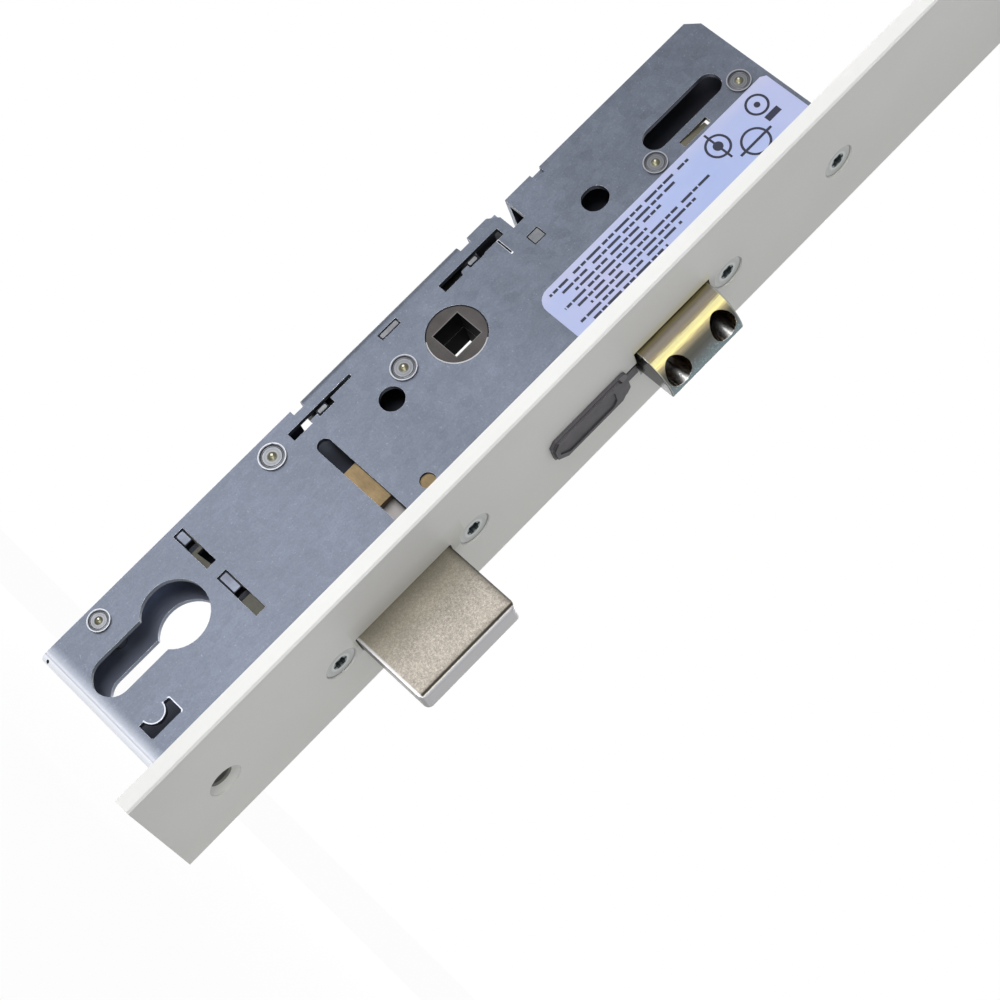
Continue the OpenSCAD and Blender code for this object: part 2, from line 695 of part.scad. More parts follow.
// Deadbolt: a block with rounded edges, the lever's groove and the cam's leg
module deadbolt() {
    half = deadbolt_thickness / 2;
    round_end = 2;
    round_edge = 0.9;
    top = deadbolt_z + deadbolt_height;
    color([0.75, 0.74, 0.7]) difference() {
        intersection() {
            union() {
                plate(-half, half) union() {
                    box_2d([deadbolt_rear, deadbolt_tip - round_end], [deadbolt_z, top]);
                    box_2d([deadbolt_rear, deadbolt_tip], [deadbolt_z + round_end, top - round_end]);
                    for (z = [deadbolt_z + round_end, top - round_end])
                        translate([deadbolt_tip - round_end, z]) circle(round_end);
                }
                plate(-half + 1.2, half - 1.2) box_2d([deadbolt_rear, deadbolt_rear + 4], [14, deadbolt_z + 1]);
            }
            // Front edges rounded as seen from above
            linear_extrude(top + 1) union() {
                box_2d([0, deadbolt_tip - round_edge], [-half, half]);
                box_2d([0, deadbolt_tip], [-half + round_edge, half - round_edge]);
                for (y = [-half + round_edge, half - round_edge])
                    translate([deadbolt_tip - round_edge, y]) circle(round_edge);
            }
        }
        // Groove for the lever's pin
        plate(-half - 1, 0.3) stadium_z(lever_pin_x, [lever_axis[1] - lever_reach - 0.4, lever_pin_z + 0.4],
            lever_pin + 0.4);
    }
}

module deadbolt_lever() {
    arm_top = lever_axis[1] - 1.5;
    color([0.76, 0.62, 0.38]) difference() {
        union() {
            plate(lever_near, lever_far) union() {
                translate(lever_axis) circle(lever_eye);
                translate([lever_pin_x, lever_pin_z]) circle(lever_pin + 1.4);
                polygon([[4.2, arm_top], [4.2, arm_top - 11.9], [8, arm_top - 15.5],
                    [lever_pin_x - 1, lever_pin_z - lever_pin - 1.2], [lever_pin_x + 3.3, lever_pin_z + 1.6],
                    [16.6, arm_top - 10.9], [16.6, arm_top - 6.7], [lever_axis[0] + lever_eye - 0.5, arm_top]]);
            }
            bar_y(lever_pin_x, lever_pin_z, lever_pin, lever_far - 0.1, -0.2);
        }
        bar_y(lever_axis[0], lever_axis[1], lever_bore + turn_gap, -inner, 0);
    }
}

// Bevelled head: the curve runs from the cover's side to the tip at the far side
module latch_head_2d() {
    near = latch_y - latch_thickness / 2;
    far = latch_y + latch_thickness / 2;
    polygon(concat([[latch_rear, far], [latch_rear, near]],
        [for (a = [0:7.5:82.5]) [backset + 0.6 + (latch_throw - 0.6) * sin(a), far - latch_thickness * cos(a)]],
        [[backset + latch_throw, far - 0.6], [backset + latch_throw - 0.3, far]]));
}

function latch_screw_rows() = [latch_mid - latch_screw_pitch / 2, latch_mid + latch_screw_pitch / 2];

module latch_head() {
    color([0.78, 0.75, 0.62]) difference() {
        translate([0, 0, latch_z]) linear_extrude(latch_height) latch_head_2d();
        for (row = latch_screw_rows()) {
            bar_x_axis(backset - 1.5, backset + 12, latch_screw_y, row, latch_screw_hole / 2);
            bar_x_axis(latch_rear - 1, backset, latch_screw_y, row, 2 + turn_gap);
        }
    }
}

module latch_screws() {
    cross_length = 3.6;
    cross_width = 0.8;
    color([0.5, 0.45, 0.38]) for (row = latch_screw_rows()) difference() {
        union() {
            bar_x_axis(backset - 1.5, backset + 1.5, latch_screw_y, row, latch_screw_hole / 2 - 0.15);
            bar_x_axis(latch_rear - flange + 0.2, backset, latch_screw_y, row, 2);
        }
        // Crossed drive
        for (turn = [0, 90]) translate([backset + 0.7, latch_screw_y, row]) rotate([turn, 0, 0])
            cube([2, cross_length, cross_width], center = true);
    }
}

module latch_carrier() {
    lug_x = nose_reach * sin(nose_angle) - nose_radius - 0.3;
    color([0.62, 0.62, 0.6]) difference() {
        union() {
            block([latch_rear - flange, latch_rear], [carrier_near, slide_near - 0.4],
                [latch_z + 0.6, latch_z + latch_height - 0.6]);
            plate(carrier_near, carrier_far) union() {
                box_2d([carrier_left, latch_rear - 1], carrier_z);
                box_2d([lug_x - lug_thickness, lug_x], [lug_foot, carrier_z[0] + 1]);
            }
        }
        plate(carrier_near - 1, carrier_far + 1) box_2d(spring_window,
            [spring_row - spring_window_height / 2, spring_row + spring_window_height / 2]);
        for (row = latch_screw_rows())
            bar_x_axis(latch_rear - flange - 1, latch_rear + 1, latch_screw_y, row, 2 + turn_gap);
    }
}

// Tumbler: a plate behind the cover with two tabs in its windows and a lug for its spring
module tumbler_slide() {
    tab_near = -outer + 0.2;
    color([0.66, 0.67, 0.66]) union() {
        plate(tumbler_near, tumbler_far) difference() {
            union() {
                box_2d([-14.6, tumbler_lug_x[1]], [tumbler_row - 4.4, tumbler_row + 5.5]);
                box_2d([-14.6, tumbler_end], [tumbler_spring_z + 1.3, tumbler_row + 5.5]);
            }
            circle(cylinder_bore / 2 + 0.8);
            // Openings left where the tabs are bent out
            polygon([[-7.9, tumbler_row - 0.3], [-1.9, tumbler_row + 0.3], [-1.9, tumbler_row + 3],
                [-7.9, tumbler_row + 3]]);
            box_2d([7, 8.9], [tumbler_row - 1.3, tumbler_row + 1.9]);
        }
        translate([0, 0, tumbler_row - 1.3]) linear_extrude(2.55) polygon([[-14.35, tumbler_near + 0.5],
            [-14.35, tab_near], [-10.6, tab_near], [-10.1, -inner + 0.05], [-8.3, tumbler_near],
            [-8.3, tumbler_near + 0.5]]);
        block([1.3, 7], [tab_near, tumbler_near + 0.5], [tumbler_row - 1.3, tumbler_row + 1.3]);
        block(tumbler_lug_x, [tumbler_far - 0.1, tumbler_spring_y + 1.2],
            [tumbler_spring_z - 1.1, tumbler_spring_z + 1.2]);
    }
}

// Slider: raised body with a slanted lower end, and a neck in the faceplate's slot
// Outline of the slider drawn in y and z, drawn in by some way all round and at its upper end
module slider_2d(inset, short) {
    half = slider_width / 2 - inset;
    top = slider_length - inset - short;
    polygon([[-half, inset + 1.6], [-half + 1.6, inset], [half - 2.4, inset], [half, inset + 2.8],
        [half, top - 1.4], [half - 1.4, top], [-half + 0.9, top], [-half, top - 0.9]]);
}

module snib_slider() {
    rest = backset + 0.05;
    ledge = 0.55 * slider_rise;
    pocket = 0.35;
    color([0.33, 0.33, 0.35]) union() {
        difference() {
            translate([rest, slider_y, slider_z]) rotate([90, 0, 90]) union() {
                linear_extrude(ledge) slider_2d(0, 0);
                linear_extrude(slider_rise) slider_2d(0.45, 1.6);
            }
            // Shallow pocket in its face
            translate([rest + slider_rise - pocket, slider_y, slider_z]) rotate([90, 0, 90])
                linear_extrude(pocket + 1) slider_2d(1.5, 3.4);
        }
        block([front + 0.1, rest + 0.1], [neck_y - neck_width / 2, neck_y + neck_width / 2],
            [neck_foot, latch_z - 1.2]);
    }
}

// Keeper behind the faceplate that holds the slider's neck
module snib_keeper() {
    half = 4;
    keeper_z = [neck_foot - 1, neck_foot + 14];
    color([0.5, 0.5, 0.5]) union() {
        block([front - 1.5, front - 0.15], [neck_y - half, neck_y + half], keeper_z);
        block([front - 0.2, front + 0.1], [neck_y - neck_width / 2, neck_y + neck_width / 2],
            [keeper_z[0] + 2, keeper_z[1] - 2]);
    }
}

case_cover();
case_base();
case_rivets();
faceplate();
faceplate_screws();
screw_blocks();
info_label();
latch_stop_bracket();
rack_guide();
lever_pivot();
latch_spring_post();
latch_spring();
tumbler_spring_post();
tumbler_spring();
drive_follower();
latch_follower();
drive_slide();
upper_drive_bar();
lower_drive_bar();
bar_pins();
deadbolt();
deadbolt_lever();
latch_head();
latch_carrier();
latch_screws();
tumbler_slide();
snib_slider();
snib_keeper();
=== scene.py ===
"""Looks of the multipoint door lock's centre section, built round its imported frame."""
import functools
import json
import math

import bpy
from mathutils import Matrix, Vector
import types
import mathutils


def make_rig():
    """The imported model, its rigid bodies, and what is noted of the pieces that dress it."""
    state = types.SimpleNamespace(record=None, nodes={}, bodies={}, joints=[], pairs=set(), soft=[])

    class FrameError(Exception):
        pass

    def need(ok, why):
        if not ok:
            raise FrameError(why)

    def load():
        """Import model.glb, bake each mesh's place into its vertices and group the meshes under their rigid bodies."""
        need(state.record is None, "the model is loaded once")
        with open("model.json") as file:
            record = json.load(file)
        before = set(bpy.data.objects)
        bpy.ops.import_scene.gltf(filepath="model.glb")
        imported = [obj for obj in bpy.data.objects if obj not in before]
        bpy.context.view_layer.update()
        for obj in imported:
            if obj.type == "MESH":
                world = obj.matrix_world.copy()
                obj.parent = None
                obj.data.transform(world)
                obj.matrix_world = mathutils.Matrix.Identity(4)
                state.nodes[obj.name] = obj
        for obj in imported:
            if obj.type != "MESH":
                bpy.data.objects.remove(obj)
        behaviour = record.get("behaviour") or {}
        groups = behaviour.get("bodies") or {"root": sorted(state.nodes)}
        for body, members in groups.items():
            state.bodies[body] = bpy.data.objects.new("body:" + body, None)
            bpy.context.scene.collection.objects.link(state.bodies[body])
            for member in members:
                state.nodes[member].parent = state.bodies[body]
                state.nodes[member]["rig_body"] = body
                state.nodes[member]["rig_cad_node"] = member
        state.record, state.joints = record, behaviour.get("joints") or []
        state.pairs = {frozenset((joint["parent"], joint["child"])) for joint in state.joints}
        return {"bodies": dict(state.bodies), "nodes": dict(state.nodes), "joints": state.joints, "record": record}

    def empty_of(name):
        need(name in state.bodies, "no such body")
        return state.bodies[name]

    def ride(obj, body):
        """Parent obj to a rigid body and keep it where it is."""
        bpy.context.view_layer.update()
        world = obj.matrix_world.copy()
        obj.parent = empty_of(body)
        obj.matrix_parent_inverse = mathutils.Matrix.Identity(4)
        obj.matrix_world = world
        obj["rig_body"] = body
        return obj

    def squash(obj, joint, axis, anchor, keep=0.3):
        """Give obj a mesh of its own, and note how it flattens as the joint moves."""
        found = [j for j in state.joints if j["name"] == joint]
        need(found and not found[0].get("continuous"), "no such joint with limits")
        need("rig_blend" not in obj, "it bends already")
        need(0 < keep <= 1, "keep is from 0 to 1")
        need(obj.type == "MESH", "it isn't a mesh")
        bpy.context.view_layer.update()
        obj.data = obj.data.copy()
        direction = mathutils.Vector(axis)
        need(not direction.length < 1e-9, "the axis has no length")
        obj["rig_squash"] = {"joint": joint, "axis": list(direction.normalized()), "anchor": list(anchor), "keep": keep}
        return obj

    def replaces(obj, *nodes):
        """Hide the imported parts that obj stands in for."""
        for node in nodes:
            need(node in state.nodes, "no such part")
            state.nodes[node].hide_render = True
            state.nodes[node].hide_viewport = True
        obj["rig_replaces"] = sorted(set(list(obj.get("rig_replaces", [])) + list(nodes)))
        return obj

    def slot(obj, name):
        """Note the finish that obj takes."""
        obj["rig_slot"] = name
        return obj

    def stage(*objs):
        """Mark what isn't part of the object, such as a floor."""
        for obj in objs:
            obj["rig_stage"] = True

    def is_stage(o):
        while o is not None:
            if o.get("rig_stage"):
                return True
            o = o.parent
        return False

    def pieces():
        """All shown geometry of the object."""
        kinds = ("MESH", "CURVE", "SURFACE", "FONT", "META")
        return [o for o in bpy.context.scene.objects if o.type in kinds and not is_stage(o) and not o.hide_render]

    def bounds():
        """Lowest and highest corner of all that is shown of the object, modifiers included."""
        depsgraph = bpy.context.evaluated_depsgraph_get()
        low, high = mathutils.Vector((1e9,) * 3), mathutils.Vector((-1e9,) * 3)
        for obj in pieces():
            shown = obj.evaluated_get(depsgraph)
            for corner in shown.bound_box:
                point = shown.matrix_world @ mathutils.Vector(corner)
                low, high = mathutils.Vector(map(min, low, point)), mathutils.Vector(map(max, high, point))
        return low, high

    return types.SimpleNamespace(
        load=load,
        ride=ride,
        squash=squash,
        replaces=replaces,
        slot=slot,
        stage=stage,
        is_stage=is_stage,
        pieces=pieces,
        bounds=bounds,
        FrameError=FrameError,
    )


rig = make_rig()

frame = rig.load()
cad_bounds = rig.bounds()

MM = 0.001

# Camera: where it stands, the directions of the picture's right, down and depth, its lens and sensor,
# and the nearest and farthest that it sees in metres
CAMERA_PLACE = Vector((263.80, -513.70, -13.15)) * MM
PICTURE_RIGHT = Vector((0.69093, 0.19555, 0.69597))
PICTURE_DOWN = Vector((0.59989, 0.38214, -0.70292))
PICTURE_DEPTH = Vector((-0.40341, 0.90318, 0.14672))
LENS = 89.285
SENSOR = 36.0
NEAREST = 0.01
FARTHEST = 100

# Surroundings in metres and watts: strengths of the world and the floor, and the lamps with their
# names, places, sizes and powers
WORLD_LIGHT = 0.42
FLOOR_GLOW = 0.96
FLOOR_HEIGHT = -42.5 * MM
FLOOR_SIZE = 30.0
LAMP_TARGET = (0.01, 0, 0.09)
LAMPS = (
    ("fill_light", (0.9, -0.6, 0.2), (0.6, 0.6), 0.6),
    ("key_light", (-0.52, -0.98, -0.02), (0.7, 0.35), 5.0),
    ("side_light", (0.05, -1.0, 0.0), (0.5, 0.12), 5.0),
    ("back_light", (-0.45, 1.0, 0.25), (0.9, 0.8), 11.0))

# How the eased copies are made: distance within which points merge, then angles in degrees
MERGE_DISTANCE = 0.002 * MM
FLAT_ANGLE = 0.5
SHARP_ANGLE = 32
SMOOTH_ANGLE = 35
EASE_SEGMENTS = 3

# All sizes below are in millimetres, as the materials read them

# Widths of the eased edges of sheet and faceplate, and of the smaller parts
SHEET_EASE = 0.16
STRIP_EASE = 0.18
EASED_WIDTHS = {
    "deadbolt": 0.12,
    "latch_head": 0.22,
    "snib_slider": 0.2,
    "faceplate_screws": 0.12,
    "case_rivets": 0,
    "latch_follower": 0.2,
    "drive_follower": 0.1,
    "rack_guide": 0.18}

# Case: planes of its faces and ends, how far the inside lies within them, and how far past a plane a
# face still counts as on it
OUTER_FACE = -7.3
PLATE_FACE = -5.85
INNER_FACE = 6.0
BACK_INSIDE = -14.9
CASE_BOTTOM = -28.6
CASE_TOP = 189.35
SHEET_INSET = 1.4
SKIN = 0.04
# The sheet's painted light makes it paler between these planes, from the near plate inwards
PALE_START = -6.5
PALE_END = -4.5

# Marks on the case: height of the painted highlight along its fold, then middles in x and z with half sizes or radii
FOLD_HEIGHT = 5
SLIT = (-7.6, 115.6)
SLIT_HALF = (2.8, 0.33)
SLIT_FACE = -7.0
TONGUE = (6.5, 166.5)
TONGUE_HALF = (1.2, 5.2)
CORNER_HOLE = (-14.6, -27.9)
CORNER_HOLE_RADIUS = 0.42
HOOK_MIDDLE = (16.2, -18.95)
HOOK_HALF = (2.4, 4.65)
HOOK_ROUND = 0.4
HOOK_CORNER = (13.5, -19.1)
HOOK_RADIUS = 3.1
HOOK_TOP = -14.7
HOOK_RIM = 0.28
HOOK_CURVE_RIM = (-0.32, 0.05)
# Glint on the back wall behind the slot: middle in y and z, half sizes, rounding, and its range in x
SLOT_GLINT = (0.1, 118.95)
SLOT_GLINT_HALF = (2.3, 1.2)
SLOT_GLINT_ROUND = 1.1
SLOT_GLINT_DEPTH = (-15.1, -14.8)
# Painted light on the far plate round the cylinder, and the places of deepest painted shade inside as ranges of x and z
LIT_PATCH_SIDE = 4
LIT_PATCH_TOP = 11
DARK_PLACES = (((4, 15), (-25, -12)), ((-14, 1), (47, 60)))

# Rivets of the case: x and z of each, and the radius of its head; and the glint beside their middles,
# with its radius as a share of theirs
RIVETS = (
    ((-12.4, -13.2), 2.9),
    ((-11.1, 41.6), 3.5),
    ((-3.4, 77.7), 3.4),
    ((5.0, 154.4), 3.05),
    ((5.2, 183.1), 3.05))
RIVET_GLINT_SHIFT = (-0.35, 0.25)
RIVET_GLINT_SHARE = 0.09

# Follower: height of its axis, half of its square hole and radius of its hub, with widths of their edges, and how far
# below the diagonal of x and z the painted highlight on the hub's lower half starts
SPINDLE_HEIGHT = 92
SQUARE_HALF = 4.05
SQUARE_SKIN = 0.02
SQUARE_EDGE = 0.24
HUB_RADIUS = 7.65
HUB_EDGE = 0.32
HUB_LOWER = -2.0

# Tab ends that show in the cover: plane and rounding of their ends, their margin of painted shade, and middle and half
# size of each in x and z
TAB_END = -7.27
TAB_ROUND = 0.6
TAB_MARGIN = 0.3
GUIDE_TABS = (
    ((-11.05, 57.9), (0.8, 1.55)),
    ((-11.0, 108.05), (0.8, 1.55)),
    ((-13.55, 82.5), (0.9, 2.95)))
TUMBLER_TABS = (
    ((-12.47, 13.85), (1.87, 1.28)),
    ((4.15, 13.85), (2.85, 1.3)))

# Faceplate: its front, rows of its screws, and its empty hole with the plane behind which it is painted dark as shade
BACKSET = 35
SCREW_ROWS = (18.2, 61.4, 146.4, 184.5)
SCREW_REACH = 5
EMPTY_HOLE = -18.6
EMPTY_HOLE_REACH = 4.6
EMPTY_HOLE_FRONT = 33.2
# Reflections on it: where those of the bolt and of the latch start and are strongest in y, the way they
# reach past the piece, and where the paint starts and stops to darken
BOLT_GLOW = (-11.0, -3.5)
BOLT_GLOW_TOP = 5
LATCH_GLOW = (-9.2, -5.2)
GLOW_MARGIN = 1
STRIP_DARKENS = (-12, 12)

# Deadbolt: its lower side, height, tip and near side with the plane where that ends, how far its olive painted shade
# reaches before the faceplate, and how far behind that the pale rear end starts
BOLT_BOTTOM = 24.2
BOLT_HEIGHT = 30
BOLT_TIP = 57
BOLT_SIDE = -3.6
BOLT_SIDE_END = -2.7
OLIVE_REACH = 12
BOLT_REAR = 8
# Before its tip the painted highlight fades in, and the painted dark reflections run along the tip and the upper side
BOLT_TIP_TONE = (-0.8, -0.5)
BOLT_TIP_LINE = -2.6
BOLT_TOP_LINE = -1.8
BOLT_LINE_WIDTH = 2
BOLT_UNDER_WIDTH = 1.25

# Latch: its lower end, height, throw and thickness, the planes of its near side and of its tip's far
# side, its light rim and flat ends, and its screws in their pockets
LATCH_BOTTOM = 116.1
LATCH_HEIGHT = 23.8
LATCH_THROW = 10.2
LATCH_THICKNESS = 10.5
LATCH_SIDE = -5.15
LATCH_TIP_SIDE = 5.0
LATCH_RIM = 0.34
LATCH_FLAT_END = 0.12
LATCH_SCREWS = (120.5, 135.5)
LATCH_SCREW_Y = 0.1
LATCH_POCKET = 3.5
LATCH_POCKET_EDGE = 3.53

TUMBLER_THROW = 7.5

# Snib slider: the plane of its side, which is painted lighter as lit, and the planes in x and y that bound its foot,
# painted lighter too
SLIDER_SIDE = -3.2
SLIDER_FOOT = (36.25, -1)

# The label's plain dashes: rows in x with their spacing and half width, and their range in z with the
# steps by which a row starts later and ends sooner
BAR_ROWS = 10
BAR_FIRST = 10.3
BAR_PITCH = 1.72
BAR_HALF = 0.36
BAR_LOW = 113.0
BAR_HIGH = 160.0
BAR_LOW_STEP = 2.6
BAR_HIGH_STEP = 6.5
# Dashes to a millimetre, share of a dash that is gap, shift from row to row, and the wave that makes
# their lengths unlike
DASH_RATE = 0.31
DASH_GAP = 0.20
DASH_SHIFT = 0.37
WAVE_RATE = 0.71
WAVE_HEIGHT = 0.33
WAVE_SHIFT = 2.3
# Rings as middle, radius and radius of the dot inside, and bars as middle and half sizes
RINGS = (((13.5, 167.0), 3.0, 1.3), ((19.6, 173.6), 3.5, 0.0), ((13.0, 181.0), 2.7, 0.8))
RING_HALF = 0.32
BARS = (((19.6, 173.6), (0.35, 5.2)), ((13.5, 167.0), (4.6, 0.3)), ((17.6, 181.6), (0.9, 2.1)))
# Its edge away from the faceplate, and how far that is paler
LABEL_EDGE = 8.3
LABEL_PALE = 3.5


def deselect():
    """Leaves edit mode and selects nothing."""
    if bpy.context.object and bpy.context.object.mode != "OBJECT":
        bpy.ops.object.mode_set(mode="OBJECT")
    bpy.ops.object.select_all(action="DESELECT")


def make_active(piece):
    deselect()
    piece.select_set(True)
    bpy.context.view_layer.objects.active = piece


def apply_modifiers(piece):
    make_active(piece)
    for modifier in list(piece.modifiers):
        bpy.ops.object.modifier_apply(modifier=modifier.name)


class Term:
    """A socket of a material that takes part in a formula."""

    def __init__(self, recipe, socket):
        self.recipe = recipe
        self.socket = socket

    def math(self, operation, *values):
        return self.recipe.node("ShaderNodeMath", {"operation": operation}, *values)

    def __add__(self, other):
        return self.math("ADD", self, other)

    __radd__ = __add__

    def __sub__(self, other):
        return self.math("SUBTRACT", self, other)

    def __rsub__(self, other):
        return self.math("SUBTRACT", other, self)

    def __mul__(self, other):
        return self.math("MULTIPLY", self, other)

    __rmul__ = __mul__

    def __truediv__(self, other):
        return self.math("DIVIDE", self, other)

    def __gt__(self, other):
        return self.math("GREATER_THAN", self, other)

    def __lt__(self, other):
        return self.math("LESS_THAN", self, other)

    def __abs__(self):
        return self.math("ABSOLUTE", self)

    def root(self):
        return self.math("SQRT", self)

    def sine(self):
        return self.math("SINE", self)

    def fraction(self):
        return self.math("FRACT", self)

    def least(self, other):
        return self.math("MINIMUM", self, other)

    def most(self, other):
        return self.math("MAXIMUM", self, other)

    def between(self, low, high):
        """1 where the value lies between low and high, else 0."""
        return (self > low) * (self < high)


def least_of(terms):
    """The least of several values."""
    return functools.reduce(Term.least, terms)


def sum_of(terms):
    """Several values added up."""
    return functools.reduce(Term.__add__, terms)


class Recipe:
    """One material: its nodes, and the Principled shader that they end in."""

    def __init__(self, name, color, roughness, metallic=0.0, specular=0.5):
        self.material = bpy.data.materials.new(name)
        self.material.use_nodes = True
        self.tree = self.material.node_tree
        self.shader = self.tree.nodes["Principled BSDF"]
        self.set("Base Color", (*color, 1.0))
        self.set("Roughness", roughness)
        self.set("Metallic", metallic)
        self.set("Specular IOR Level", specular)
        self.material.diffuse_color = (*color, 1.0)

    def node(self, kind, settings, *values, output=0, **named):
        """A node whose sockets are fed in their order, and then by name."""
        made = self.tree.nodes.new(kind)
        for key, value in settings.items():
            if key == "stops":
                self.set_stops(made.color_ramp, value)
            else:
                setattr(made, key, value)
        for place, value in enumerate(values):
            self.feed(made.inputs[place], value)
        for name, value in named.items():
            self.feed(made.inputs[name], value)
        return Term(self, made.outputs[output])

    def set_stops(self, ramp, stops):
        """Places and colors of a ramp, however many it started with."""
        while len(ramp.elements) > len(stops):
            ramp.elements.remove(ramp.elements[-1])
        while len(ramp.elements) < len(stops):
            ramp.elements.new(1.0)
        for element, (place, color) in zip(ramp.elements, stops):
            element.position = place
            element.color = (*color, 1.0)

    def feed(self, socket, value):
        if isinstance(value, Term):
            self.tree.links.new(value.socket, socket)
        else:
            socket.default_value = value

    def set(self, name, value):
        self.feed(self.shader.inputs[name], value)

    def place(self, stretch=(1, 1, 1)):
        """Object coordinates in millimetres, stretched along each axis."""
        coordinates = self.node("ShaderNodeTexCoord", {}, output="Object")
        scale = [share / MM for share in stretch]
        return self.node("ShaderNodeMapping", {}, Vector=coordinates, Scale=scale)

    def axes(self):
        """x, y and z of a point in millimetres."""
        made = self.tree.nodes.new("ShaderNodeSeparateXYZ")
        self.feed(made.inputs[0], self.place())
        return [Term(self, out) for out in made.outputs]

    def noise(self, size, stretch=(1, 1, 1), detail=3.0, roughness=0.55):
        """Noise whose blotches measure about size millimetres."""
        return self.node("ShaderNodeTexNoise", {}, Vector=self.place(stretch), Scale=1 / size,
                         Detail=detail, Roughness=roughness)

    def cells(self, size):
        """One random value a cell, as crystals in a zinc coat have."""
        color = self.node("ShaderNodeTexVoronoi", {"feature": "F1"}, Vector=self.place(),
                          Scale=1 / size, output="Color")
        return self.grey(color)

    def grey(self, color):
        return self.node("ShaderNodeRGBToBW", {}, color)

    def ramp(self, value, stops):
        return self.node("ShaderNodeValToRGB", {"stops": stops}, value)

    def levels(self, value, stops):
        """A ramp of plain numbers."""
        return self.grey(self.ramp(value, [(place, (level, level, level)) for place, level in stops]))

    def fade(self, value, start, end):
        """From 0 where the value is start to 1 where it is end."""
        return self.levels((value - start) / (end - start), [(0.0, 0), (1.0, 1)])

    def tones(self, value, color, dark, light):
        """A color that follows a value; dark and light give the place and factor of its two shades."""
        return self.ramp(value, [(place, shade(color, factor)) for place, factor in (dark, light)])

    def mix(self, factor, first, second, blend="MIX"):
        """One color laid over another; the node's sockets for colors are found by number."""
        made = self.tree.nodes.new("ShaderNodeMix")
        made.data_type = "RGBA"
        made.blend_type = blend
        self.feed(made.inputs[0], factor)
        self.feed(made.inputs[6], first if isinstance(first, Term) else (*first, 1.0))
        self.feed(made.inputs[7], second if isinstance(second, Term) else (*second, 1.0))
        return Term(self, made.outputs[2])

    def distance(self, first, second, middle):
        """Distance in millimetres of two coordinates from a middle point."""
        across = first - middle[0]
        along = second - middle[1]
        return (across * across + along * along).root()

    def box(self, first, second, middle, half):
        """1 inside a box round a middle point, else 0."""
        return (abs(first - middle[0]) < half[0]) * (abs(second - middle[1]) < half[1])

    def rounded_box(self, first, second, middle, half, corner):
        """Distance in millimetres from a rounded box; inside it, it falls to minus the corner's radius."""
        across = (abs(first - middle[0]) - (half[0] - corner)).most(0)
        along = (abs(second - middle[1]) - (half[1] - corner)).most(0)
        return (across * across + along * along).root() - corner

    def bump(self, height, strength, distance):
        """Bump of a height given in 0 to 1; distance is its depth in millimetres."""
        made = self.node("ShaderNodeBump", {}, Strength=strength, Distance=distance * MM, Height=height)
        self.set("Normal", made)

    def finish(self, color, roughness):
        """The two values that every material here ends with."""
        self.set("Base Color", color)
        self.set("Roughness", roughness)
        return self.material


def shade(color, factor):
    """A color made darker or lighter by a factor."""
    return tuple(channel * factor for channel in color)


